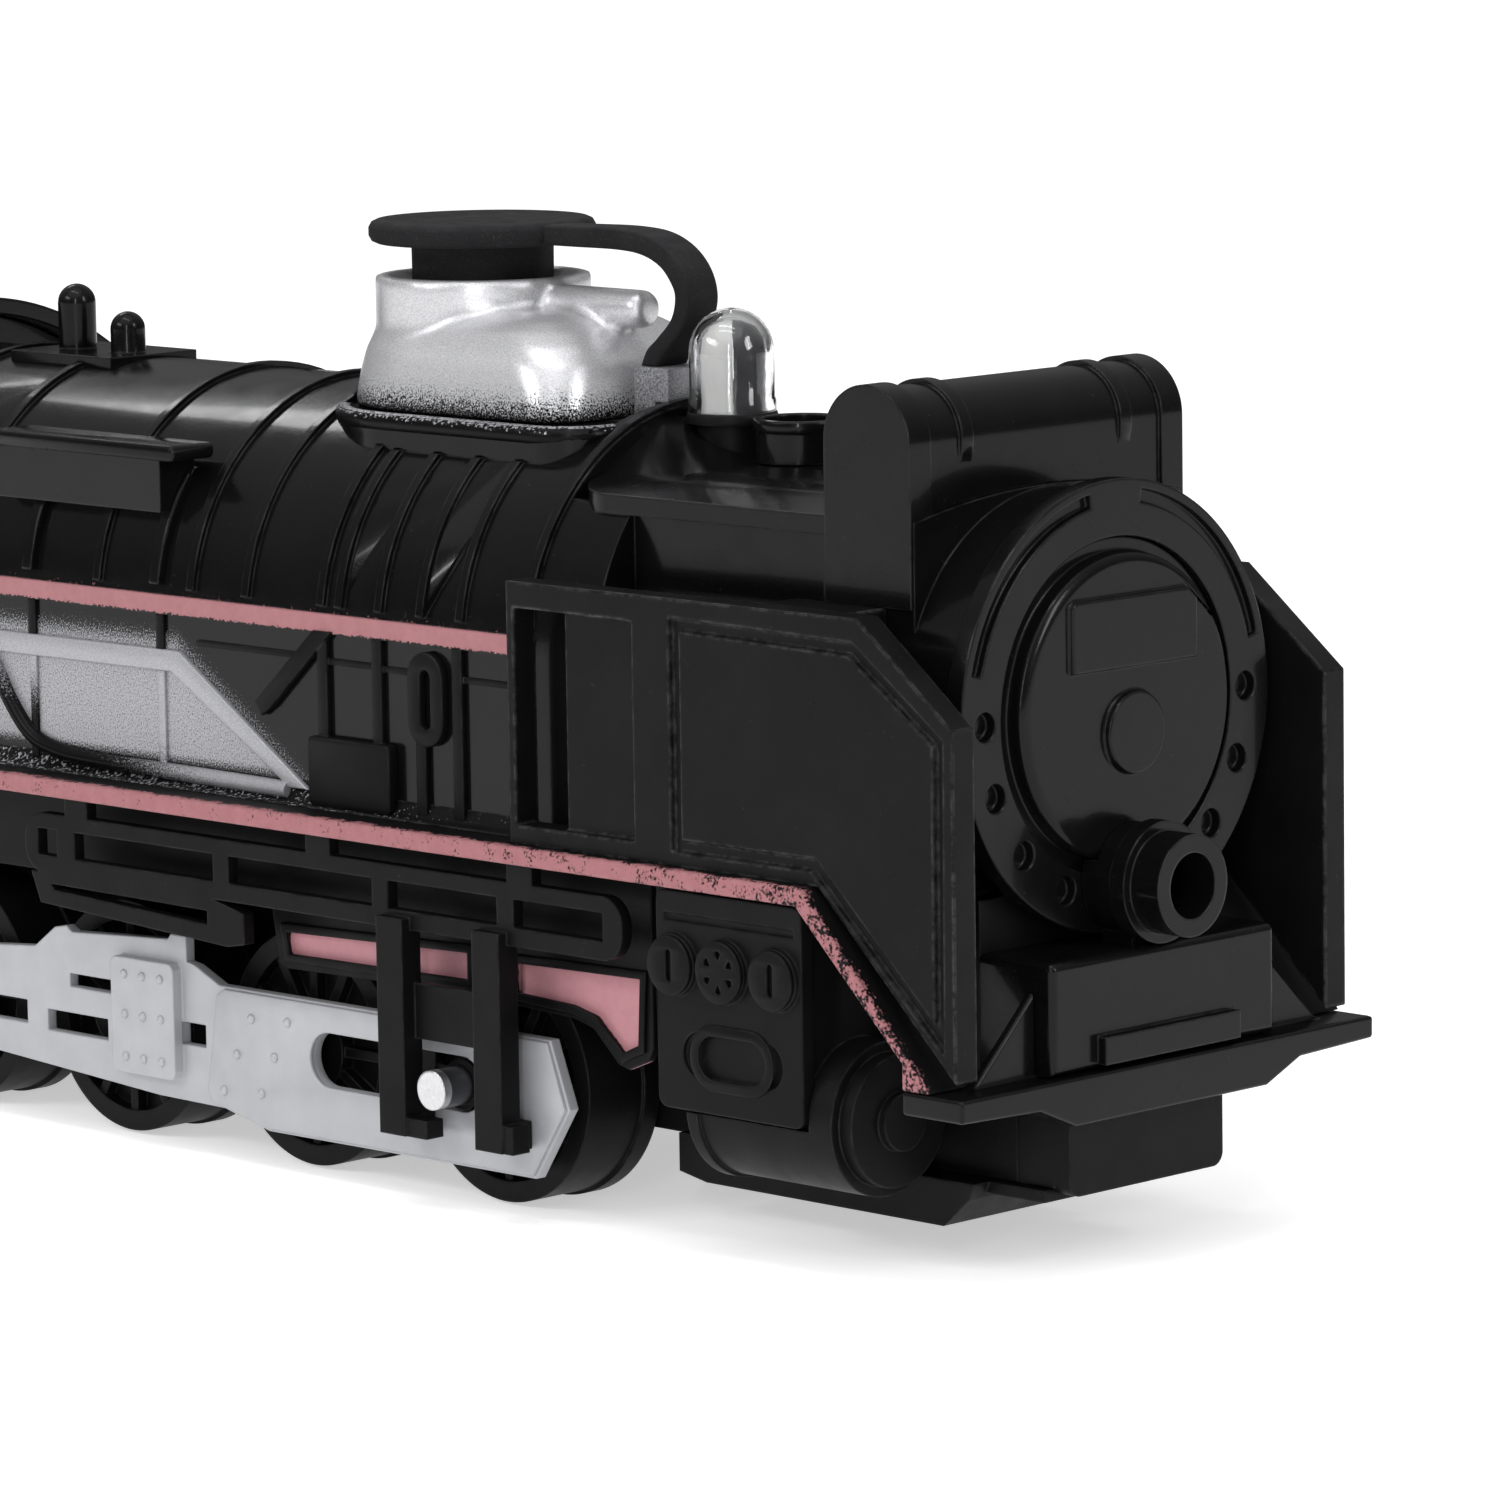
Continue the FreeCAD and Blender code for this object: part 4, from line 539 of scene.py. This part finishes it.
class Piece:
    """Collects solids in millimetres and turns them into one object."""

    def __init__(self, name):
        self.name = name
        self.bm = bmesh.new()

    def loft(self, rings, closed=False):
        """Skins rings of equal length and caps the ends unless the loft closes on itself."""
        rows = [[self.bm.verts.new(point) for point in ring] for ring in rings]
        count = len(rows[0])
        for number in range(len(rows) if closed else len(rows) - 1):
            first, second = rows[number], rows[(number + 1) % len(rows)]
            for index in range(count):
                following = (index + 1) % count
                self.bm.faces.new((first[index], first[following], second[following], second[index]))
        if not closed:
            self.bm.faces.new(rows[0][::-1])
            self.bm.faces.new(rows[-1])
        return self

    def plate(self, plane, span, *loops, edge=0.12):
        """A flat piece from loops on a plane, between two distances along its normal."""
        low, high = min(span), max(span)
        mesh = outline_mesh(loops, high - low, edge)
        middle = (low + high) / 2
        for vertex in mesh.vertices:
            u, v, w = vertex.co
            vertex.co = {"XZ": (u, middle + w, v), "YZ": (middle + w, u, v), "XY": (u, v, middle + w)}[plane]
        self.bm.from_mesh(mesh)
        bpy.data.meshes.remove(mesh)
        return self

    def tube(self, path, radius, steps=12):
        """A round bar along a path."""
        path = [Vector(point) for point in path]
        rings = []
        for number, point in enumerate(path):
            ahead = path[min(number + 1, len(path) - 1)] - path[max(number - 1, 0)]
            across = ahead.cross(Vector((0, 1, 0)))
            if across.length < 1e-6:
                across = ahead.cross(Vector((0, 0, 1)))
            across.normalize()
            beside = ahead.cross(across).normalized()
            rings.append([point + radius * (math.cos(2 * math.pi * step / steps) * across
                                            + math.sin(2 * math.pi * step / steps) * beside)
                          for step in range(steps)])
        return self.loft(rings)

    def turned(self, centre, axis, profile, steps=48):
        """A turned solid: profile holds (radius, distance along the axis) pairs."""
        axis = Vector(axis).normalized()
        across = axis.orthogonal().normalized()
        beside = axis.cross(across)
        rings = [[Vector(centre) + axis * along + radius * (math.cos(2 * math.pi * step / steps) * across
                                                            + math.sin(2 * math.pi * step / steps) * beside)
                  for step in range(steps)] for radius, along in profile]
        return self.loft(rings)

    def rivet(self, centre, axis, radius, height):
        """A low domed rivet head."""
        profile = [(radius, -0.1), (radius, 0.15 * height), (0.85 * radius, 0.6 * height),
                   (0.5 * radius, 0.92 * height), (0.05 * radius, height)]
        return self.turned(centre, axis, profile, 14)

    def arc(self, x, radii, angles, height, side, steps=24):
        """A band along part of a cylinder about the X axis; angles are above the horizontal."""
        rings = []
        for step in range(steps + 1):
            angle = math.radians(angles[0] + (angles[1] - angles[0]) * step / steps)
            out = Vector((0, side * math.cos(angle), math.sin(angle)))
            corners = ((x[0], radii[0]), (x[0], radii[1]), (x[1], radii[1]), (x[1], radii[0]))
            rings.append([Vector((end, 0, height)) + out * radius for end, radius in corners])
        return self.loft(rings)

    def done(self, finish, body, slot, edge=0.0, sharp=32.0):
        """Makes the object: cleans and scales the mesh, then gives it its finish and body. The slot is not
        used.
        """
        bmesh.ops.remove_doubles(self.bm, verts=self.bm.verts, dist=1e-5)
        bmesh.ops.recalc_face_normals(self.bm, faces=self.bm.faces)
        bmesh.ops.scale(self.bm, vec=(MM, MM, MM), verts=self.bm.verts)
        mesh = bpy.data.meshes.new(self.name)
        self.bm.to_mesh(mesh)
        self.bm.free()
        thing = bpy.data.objects.new(self.name, mesh)
        bpy.context.scene.collection.objects.link(thing)
        mesh.materials.append(finishes[finish])
        mesh.polygons.foreach_set("use_smooth", [True] * len(mesh.polygons))
        mesh.set_sharp_from_angle(angle=math.radians(sharp))
        if edge:
            round_edges(thing, edge)
        if body:
            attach(thing, body)
        return thing


# ---------------------------------------------------------------- dome, plug, strap and lamp

DOME_X = 23.1
PLUG_TOP = 82.0
STRAP_HALF_WIDTH = 1.9
STRAP_SQUARENESS = 0.28
LAMP_X = 53.5
# Each level is (height, half width, front end, corner radius).
DOME_LEVELS = ((65.95, 11.3, 43.7, 3.6), (67.2, 11.15, 43.5, 3.8), (69.0, 10.8, 43.2, 4.2),
               (70.8, 10.3, 42.6, 4.6), (72.2, 9.6, 41.6, 5.0), (73.3, 8.7, 40.2, 5.2),
               (74.1, 7.5, 38.6, 5.0), (74.6, 5.9, 36.6, 4.4))
LIP_LEVEL = (65.2, 12.3, 46.6, 4.5)
LIP_RADIUS = 0.85


def dome_level(height, half_width, end, corner):
    """One level of the dome: half round at the back, rounded corners at the front."""
    points = circle(DOME_X, 0, half_width, 24, 90, 270)
    points += circle(end - corner, -half_width + corner, corner, 8, 270, 360)
    points += circle(end - corner, half_width - corner, corner, 8, 0, 90)
    return [(x, y, height) for x, y in points]


def dome():
    """Silver dome with soft fillets, made as one moulding and then bored out."""
    draft = Piece("dome")
    draft.loft([dome_level(*level) for level in DOME_LEVELS])
    neck = [(10.9, 65.95), (10.3, 68.0), (9.7, 70.5), (9.4, 73.0), (9.4, 77.2)]
    draft.turned((DOME_X, 0, 0), (0, 0, 1), neck)
    draft.turned((0, 0, 75.0), (1, 0, 0), [(1.75, 30.0), (1.7, 43.1), (1.3, 43.7)], 20)
    thing = draft.done("dome", None, "silver_paint")
    remesh = thing.modifiers.new("remesh", "REMESH")
    remesh.mode = "VOXEL"
    remesh.voxel_size = 0.32 * MM
    smooth = thing.modifiers.new("smooth", "SMOOTH")
    smooth.factor = 0.5
    smooth.iterations = 9
    opening = [(7.8, 60.0), (7.8, 76.7), (8.3, 77.3), (9.0, 77.9)]
    bore = Piece("bore").turned((DOME_X, 0, 0), (0, 0, 1), opening, 72)
    tool = bore.done("dome", None, "silver_paint")
    drill = thing.modifiers.new("drill", "BOOLEAN")
    drill.operation = "DIFFERENCE"
    drill.object = tool
    drill.solver = "EXACT"
    made = bpy.data.meshes.new_from_object(thing.evaluated_get(bpy.context.evaluated_depsgraph_get()))
    made.polygons.foreach_set("use_smooth", [True] * len(made.polygons))
    made.set_sharp_from_angle(angle=math.radians(50))
    thing.modifiers.clear()
    thing.data = made
    bpy.data.objects.remove(tool)
    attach(thing, "locomotive")
    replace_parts(thing, "steam_dome")


def plug():
    """Rubber plug: a dished disc with a soft edge on a ribbed stem."""
    profile = [(0.02, PLUG_TOP - 0.35), (5.0, PLUG_TOP - 0.3), (8.2, PLUG_TOP - 0.08), (9.2, PLUG_TOP),
               (9.65, PLUG_TOP - 0.2), (9.9, PLUG_TOP - 0.65), (9.9, PLUG_TOP - 1.35), (9.65, PLUG_TOP - 1.8),
               (9.2, PLUG_TOP - 2.0), (6.5, PLUG_TOP - 2.0), (6.2, PLUG_TOP - 2.3), (6.15, 75.0), (6.5, 74.6),
               (6.8, 74.2), (6.8, 73.5), (6.4, 73.0), (6.15, 72.6), (6.0, 72.1), (5.2, 72.0), (4.9, 72.3),
               (4.8, 74.0), (0.02, 74.0)]
    thing = Piece("plug").turned((DOME_X, 0, 0), (0, 0, 1), profile, 96)
    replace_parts(thing.done("rubber", "plug", "black_rubber", sharp=60), "filler_plug")


def strap():
    """Flat rubber strap that curls from the plug down to its anchor."""
    outer = [(31.6, 81.85), (36.0, 81.95), (41.6, 82.0), (45.2, 81.6), (47.9, 80.4), (49.7, 78.5),
             (50.3, 76.2), (49.5, 73.8), (48.0, 72.2), (47.0, 71.3), (46.4, 70.45)]
    inner = [(31.6, 80.1), (36.0, 80.1), (41.2, 80.1), (44.4, 79.8), (46.7, 78.9), (48.0, 77.6),
             (48.5, 76.4), (48.0, 74.6), (46.3, 72.9), (45.0, 71.8), (44.3, 70.45)]
    outer, inner = (smooth_path([(x, 0, z) for x, z in line]) for line in (outer, inner))
    rings = []
    for top, under in zip(outer, inner):
        middle, half = (top + under) / 2, (top - under) / 2
        ring = []
        for step in range(20):
            angle = 2 * math.pi * step / 20
            across, along = (math.copysign(abs(part) ** STRAP_SQUARENESS, part)
                             for part in (math.cos(angle), math.sin(angle)))
            ring.append(middle + Vector((0, STRAP_HALF_WIDTH * across, 0)) + half * along)
        rings.append(ring)
    thing = Piece("strap").loft(rings).done("rubber", None, "black_rubber", sharp=70)
    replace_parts(thing, "plug_strap")
    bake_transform(thing)


def lamp():
    """Clear bullet-shaped lens with a hollow inside."""
    radius, top, wall = 3.75, 75.7, 0.75
    waist = radius - 0.12
    shoulder = top - radius
    outside = [(radius, 67.0), (radius, 67.9), (waist, 68.2), (waist, shoulder)]
    inside = [(radius - wall, 67.0), (radius - wall, shoulder)]
    for turn in range(10, 91, 10):
        angle = math.radians(min(turn, 89.5))
        outside.append((waist * math.cos(angle), shoulder + radius * math.sin(angle)))
        inside.append(((radius - wall) * math.cos(angle), shoulder + (radius - wall) * math.sin(angle)))
    steps = 64
    rings = [[(LAMP_X + r * math.cos(2 * math.pi * step / steps), r * math.sin(2 * math.pi * step / steps), z)
              for step in range(steps)] for r, z in outside + inside[::-1]]
    lens = Piece("lens").loft(rings, closed=True)
    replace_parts(lens.done("clear", "locomotive", "clear_plastic", sharp=50), "lamp_lens")


def lamp_seat():
    """Black collar that holds the lens."""
    profile = [(3.05, 57.5), (3.05, 66.0), (3.9, 66.05), (3.95, 66.5), (3.8, 66.95), (3.4, 67.0),
               (3.0, 66.8), (0.05, 66.8)]
    seat = Piece("lamp_seat").turned((LAMP_X, 0, 0), (0, 0, 1), profile, 48)
    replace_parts(seat.done("satin_black", "locomotive", "dark_plastic"), "lamp_holder")


def half_round(name, centre, first_turn, last_turn):
    """Half of a rounded body inside the lens, between two directions seen from above; the two halves give the
    lens a painted reflection and a painted shade.
    """
    levels = [(2.7, 66.9), (2.7, 72.0), (2.5, 73.2), (1.9, 74.1), (0.9, 74.6)]
    turns = [math.radians(turn) for turn in range(first_turn, last_turn, 12)]
    return Piece(name).loft([[(centre[0] + r * math.cos(turn), centre[1] + r * math.sin(turn), z)
                              for turn in turns] for r, z in levels])


def lamp_inside():
    """A white half and a grey half inside the lens, a painted reflection and a painted shade, and the two
    leads.
    """
    # The white half is a painted reflection in the lens.
    painted_reflection_half = half_round("lamp_painted_reflection_half", (LAMP_X + 0.1, 0.0), 135, 316)
    painted_reflection_half.done("lamp_white", "locomotive", "lamp_white", sharp=50)
    # The grey half is a painted shade in the lens.
    shade = half_round("lamp_painted_shade_half", (LAMP_X + 0.16, 0.06), -45, 136)
    shade.done("painted_shade_grey", "locomotive", "dark_plastic", sharp=30)
    leads = Piece("lamp_leads")
    for across, height in ((-0.75, 69.6), (0.75, 69.0)):
        leads.plate("YZ", (LAMP_X + 1.35, LAMP_X + 1.65),
                    rounded_box((across - 0.5, across + 0.5), (67.0, height), 0.15))
    leads.turned((LAMP_X, 0, 0), (0, 0, 1), [(2.4, 67.0), (2.4, 67.7), (1.9, 68.0), (0.1, 68.0)], 32)
    leads.done("steel", "locomotive", "bright_steel")


def dome_lip():
    """Round bead along the collar's upper edge."""
    outline = [Vector(point) for point in dome_level(*LIP_LEVEL)]
    up = Vector((0, 0, 1))
    turns = [2 * math.pi * step / 12 for step in range(12)]
    rings = []
    for number, point in enumerate(outline):
        ahead = outline[(number + 1) % len(outline)] - outline[number - 1]
        out = ahead.cross(up).normalized()
        rings.append([point + LIP_RADIUS * (math.cos(turn) * out + math.sin(turn) * up) for turn in turns])
    Piece("dome_lip").loft(rings, closed=True).done("lip", "locomotive", "black_plastic")


dome()
plug()
strap()
lamp()
lamp_seat()
lamp_inside()
dome_lip()


# ---------------------------------------------------------------- boiler sides

SKIRT = 20.0
SEAMS = (-32.4, -15.0, 2.4)


def raised(piece, side, depth, *loops, edge=0.12):
    """Adds a plate that stands depth millimetres out of a side face."""
    return piece.plate("XZ", (side * (SKIRT - 0.05), side * (SKIRT + depth)), *loops, edge=edge)


def bar(piece, side, x, z, depth):
    """Adds an upright or level bar with slightly round corners."""
    return raised(piece, side, depth, rounded_box(x, z, 0.15), edge=0.1)


def skirt_panel(side_name, side):
    """Silver panel with its slanted end, its seams and the pipe that crosses it."""
    panel = Piece(f"skirt_panel_{side_name}")
    outline = [(-49.6, 42.6), (4.1, 42.9), (19.2, 34.1), (21.0, 34.1), (5.0, 44.4), (-49.6, 44.2)]
    raised(panel, side, 0.55, outline, edge=0.2)
    for seam in SEAMS:
        bar(panel, side, (seam - 0.35, seam + 0.35), (33.4, 43.0), 0.3)
    route = smooth_path([(-24.0, 0, 44.6), (-20.6, 0, 41.6), (-18.2, 0, 38.2), (-15.6, 0, 35.6),
                         (-12.4, 0, 34.4), (-7.0, 0, 33.9), (6.0, 0, 33.8), (19.0, 0, 33.7)])
    panel.tube([(x, side * (SKIRT + 0.25), z) for x, _, z in route], 0.75)
    panel.done("skirt", "locomotive", "silver_paint")


def skirt_ribs(side_name, side):
    """Black ribs, slot, brace and box on the boiler's side."""
    skirt = Piece(f"skirt_ribs_{side_name}")
    for seam in SEAMS:
        bar(skirt, side, (seam - 0.4, seam + 0.4), (44.4, 47.7), 0.35)
    for x, z in ((23.7, (38.4, 47.7)), (30.6, (38.4, 47.7)), (36.0, (33.0, 39.4)), (40.6, (33.0, 47.7))):
        bar(skirt, side, (x - 0.5, x + 0.5), z, 0.5)
    for x, z in (((7.2, 21.6), 45.5), ((24.2, 30.1), 45.3), ((31.1, 34.6), 45.2), ((41.1, 49.0), 45.1)):
        bar(skirt, side, x, (z - 0.18, z + 0.18), 0.22)
    raised(skirt, side, 0.8, pill(36.9, 43.1, 1.95, 3.85), pill(36.9, 43.1, 0.85, 2.75), edge=0.22)
    raised(skirt, side, 0.7, [(16.0, 40.2), (17.1, 40.9), (24.6, 47.7), (22.8, 47.7), (15.4, 41.1)], edge=0.2)
    raised(skirt, side, 1.1, rounded_box((22.5, 32.4), (33.0, 38.6), 0.3), edge=0.2)
    skirt.done("satin_black", "locomotive", "black_plastic")


def board_fillet(side_name, side):
    """Hollow fillet where the boiler's side meets the running board."""
    section = [(side * (SKIRT - 0.05), 32.62), (side * (SKIRT + 1.6), 32.62), (side * (SKIRT + 0.75), 32.85),
               (side * (SKIRT + 0.25), 33.35), (side * (SKIRT - 0.05), 34.2)]
    fillet = Piece(f"board_fillet_{side_name}")
    fillet.loft([[(x, y, z) for y, z in section] for x in (-49.7, 50.0)])
    fillet.done("board_overspray_and_sheen", "locomotive", "black_plastic", sharp=50)


def boiler_hangers(side_name, side):
    """Two bands below the side box and the ledge along its top."""
    hangers = Piece(f"boiler_hangers_{side_name}")
    for x in (-16.0, 1.3):
        hangers.arc((x, x + 1.3), (19.8, 20.75), (8.0, 37.0), 47.4, side)
    hangers.plate("XZ", (side * 15.2, side * 20.1), rounded_box((-20.7, 4.3), (61.3, 62.3), 0.45), edge=0.2)
    hangers.done("body_black", "locomotive", "black_plastic", edge=0.15)


for side_name, side in SIDES.items():
    skirt_panel(side_name, side)
    skirt_ribs(side_name, side)
    board_fillet(side_name, side)
    boiler_hangers(side_name, side)


# ---------------------------------------------------------------- running gear details

CRANK_THROW = 1.6
WHEEL_CENTRE = 10.7
ROD_FACE = 20.9
PLATE_FACE = 21.35
CROSSHEAD_FACE = 22.1
VALANCE_FACE = 19.45
COVER_MARKS = (24.45, 24.9)
COVER_SLOT = (23.95, 24.15)
MARK_HEIGHT = 24.6


def rod_shift(side):
    """How far forward a rod lies at rest: the left cranks are half a turn ahead of the right ones."""
    return (1 + side) * CRANK_THROW


def rod_rivets(side_name, side):
    """Rivet heads on the crosshead and along the rod's plate."""
    shift = rod_shift(side)
    outwards = (0, side, 0)
    rivets = Piece(f"rod_rivets_{side_name}")
    for x in (-1.5, 0.9, 3.3):
        for z in (15.5, 11.9, 8.1):
            rivets.rivet((shift + x, side * CROSSHEAD_FACE, z), outwards, 0.42, 0.3)
    for x, z in ((14.5, 13.2), (19.2, 13.4), (12.5, 9.8), (17.4, 10.1), (10.7, 6.4), (15.6, 6.7)):
        rivets.rivet((shift + x, side * PLATE_FACE, z), outwards, 0.45, 0.3)
    rivets.done("rod", f"{side_name}_rod", "rod_grey")


def rod_plate(side_name, side):
    """Thin plate with a long slot on the front half of the rod."""
    shift = rod_shift(side)
    slot_half = 2.5
    slot = (circle(shift + 24.4, WHEEL_CENTRE, slot_half, 12, 90, 270)
            + circle(shift + 41.3, WHEEL_CENTRE, slot_half, 12, 270, 450))
    outline = [(53.6, 10.0), (51.6, 15.4), (10.9, 15.3), (10.0, 14.7), (8.6, 6.0), (9.1, 5.3), (16.2, 3.8),
               (49.6, 4.0)]
    shifted = [(shift + x, z) for x, z in outline]
    plate = Piece(f"rod_plate_{side_name}")
    plate.plate("XZ", (side * ROD_FACE, side * PLATE_FACE), shifted, slot, edge=0.1)
    plate.done("rod", f"{side_name}_rod", "rod_grey")


def wheel_mark(x, z):
    """A disc's outline and its six wedge-shaped holes."""
    wedge = ((0.75, 0.0), (1.75, -17.0), (1.9, 0.0), (1.75, 17.0))
    holes = []
    for turn in range(30, 390, 60):
        angles = [(r, math.radians(turn + spread)) for r, spread in wedge]
        holes.append([(x + r * math.cos(angle), z + r * math.sin(angle)) for r, angle in angles])
    return [circle(x, z, 2.5), *holes]


def cover_marks(side_name, side):
    """Raised rings, holed disc and slot rim on the valve cover."""
    marks = Piece(f"cover_marks_{side_name}")
    face = tuple(side * distance for distance in COVER_MARKS)
    for x in (69.9, 81.5):
        marks.plate("XZ", face, circle(x, MARK_HEIGHT, 2.35), pill(x, MARK_HEIGHT, 0.42, 1.45), edge=0.12)
    marks.plate("XZ", face, *wheel_mark(75.6, MARK_HEIGHT), edge=0.1)
    marks.plate("XZ", tuple(side * distance for distance in COVER_SLOT),
                rounded_box((71.6, 81.0), (14.6, 20.0), 2.6), rounded_box((72.4, 80.2), (15.4, 19.2), 1.85),
                edge=0.08)
    marks.done("satin_black", "locomotive", "dark_plastic")


def window_rims(side_name, side):
    """Raised rims round the two openings in the frame valance."""
    rims = Piece(f"window_rims_{side_name}")
    windows = ([(17.3, 18.5), (41.1, 18.8), (41.1, 22.3), (16.9, 21.6)],
               [(45.8, 18.4), (53.2, 18.1), (55.8, 17.5), (59.1, 14.6), (61.6, 15.7), (62.0, 22.4),
                (45.8, 22.1)])
    holes = ([(17.8, 19.0), (40.6, 19.3), (40.6, 21.8), (17.4, 21.1)],
             [(46.3, 18.9), (53.4, 18.6), (56.0, 18.0), (59.2, 15.2), (61.2, 16.1), (61.5, 21.9),
              (46.3, 21.6)])
    for window, hole in zip(windows, holes):
        rims.plate("XZ", (side * VALANCE_FACE, side * (VALANCE_FACE + 0.4)), window, hole, edge=0.12)
    rims.done("satin_black", "locomotive", "dark_plastic")


for side_name, side in SIDES.items():
    rod_rivets(side_name, side)
    rod_plate(side_name, side)
    cover_marks(side_name, side)
    window_rims(side_name, side)


# ---------------------------------------------------------------- floor, light and camera

def sheet(name, corners, material):
    """A flat four-cornered surface."""
    mesh = bpy.data.meshes.new(name)
    mesh.from_pydata(corners, [], [tuple(range(len(corners)))])
    thing = bpy.data.objects.new(name, mesh)
    bpy.context.scene.collection.objects.link(thing)
    mesh.materials.append(material)


def light(name, place, target, size, power):
    """A soft rectangular light aimed at a point."""
    data = bpy.data.lights.new(name, "AREA")
    data.shape = "RECTANGLE"
    data.size, data.size_y = size
    data.energy = power
    box = bpy.data.objects.new(name, data)
    bpy.context.scene.collection.objects.link(box)
    box.location = place
    box.rotation_euler = (Vector(target) - Vector(place)).to_track_quat("-Z", "Y").to_euler()


WHITE = (1.0, 1.0, 1.0, 1.0)
FLOOR_HALF = 3
FLOOR_GLOW = 0.5
paper = tinted("paper", (0.84, 0.84, 0.84), (0.88, 0.88, 0.88), 0.8, 400.0, rounding=0.0)
paper_shader = paper.node_tree.nodes["Principled BSDF"]
paper_shader.inputs["Emission Color"].default_value = WHITE
paper_shader.inputs["Emission Strength"].default_value = FLOOR_GLOW
sheet("floor", [(-FLOOR_HALF, -FLOOR_HALF, 0), (FLOOR_HALF, -FLOOR_HALF, 0), (FLOOR_HALF, FLOOR_HALF, 0),
                (-FLOOR_HALF, FLOOR_HALF, 0)], paper)

light("boiler_softbox", (-0.56, 0.22, 0.58), (0.0, 0.0, 0.05), (0.24, 0.08), 0.55)
light("side_softbox", (-0.25, -0.80, 0.50), (0.0, 0.0, 0.04), (0.5, 0.16), 2.2)
light("front_softbox", (0.80, 0.10, 0.40), (0.05, 0.0, 0.04), (0.16, 0.4), 2.2)
light("edge_strip", (0.62, -0.75, 0.30), (0.05, 0.0, 0.04), (0.04, 0.5), 1.8)
light("top_strip", (0.10, -0.25, 0.85), (0.03, 0.0, 0.05), (0.6, 0.05), 1.2)

daylight = bpy.data.lights.new("daylight", "SUN")
daylight.energy = 0.8
daylight.angle = math.radians(70)
sky = bpy.data.objects.new("daylight", daylight)
bpy.context.scene.collection.objects.link(sky)
sky.rotation_euler = (math.radians(20), math.radians(12), 0.0)

world = bpy.data.worlds.new("studio")
bpy.context.scene.world = world
world.use_nodes = True
sky_nodes = world.node_tree.nodes
direction = sky_nodes.new("ShaderNodeSeparateXYZ")
height = sky_nodes.new("ShaderNodeMapRange")
# The sky is dim at the horizon and brighter overhead: from and to heights, then their strengths.
for socket, number in zip(list(height.inputs)[1:5], (0.10, 0.75, 0.10, 0.50)):
    socket.default_value = number
world.node_tree.links.new(sky_nodes.new("ShaderNodeTexCoord").outputs["Generated"], direction.inputs[0])
world.node_tree.links.new(direction.outputs[2], height.inputs[0])
world.node_tree.links.new(height.outputs[0], sky_nodes["Background"].inputs["Strength"])
sky_nodes["Background"].inputs["Color"].default_value = WHITE
bpy.context.scene.view_settings.view_transform = "Standard"

# The camera's own axes, its place in metres and its lens in millimetres.
BACK = Vector((0.69816, -0.70135, 0.14384)).normalized()
RIGHT = Vector((0.71017, 0.70388, -0.01487)).normalized()
UP = BACK.cross(RIGHT)
CAMERA_PLACE = (0.5101, -0.4572, 0.1320)
LENS = 184.39
SENSOR_WIDTH = 36.0
camera_data = bpy.data.cameras.new("camera")
camera_data.lens = LENS
camera_data.sensor_width = SENSOR_WIDTH
camera = bpy.data.objects.new("camera", camera_data)
bpy.context.scene.collection.objects.link(camera)
turn = Matrix((RIGHT, UP, BACK)).transposed()
camera.matrix_world = Matrix.Translation(CAMERA_PLACE) @ turn.to_4x4()
bpy.context.scene.camera = camera
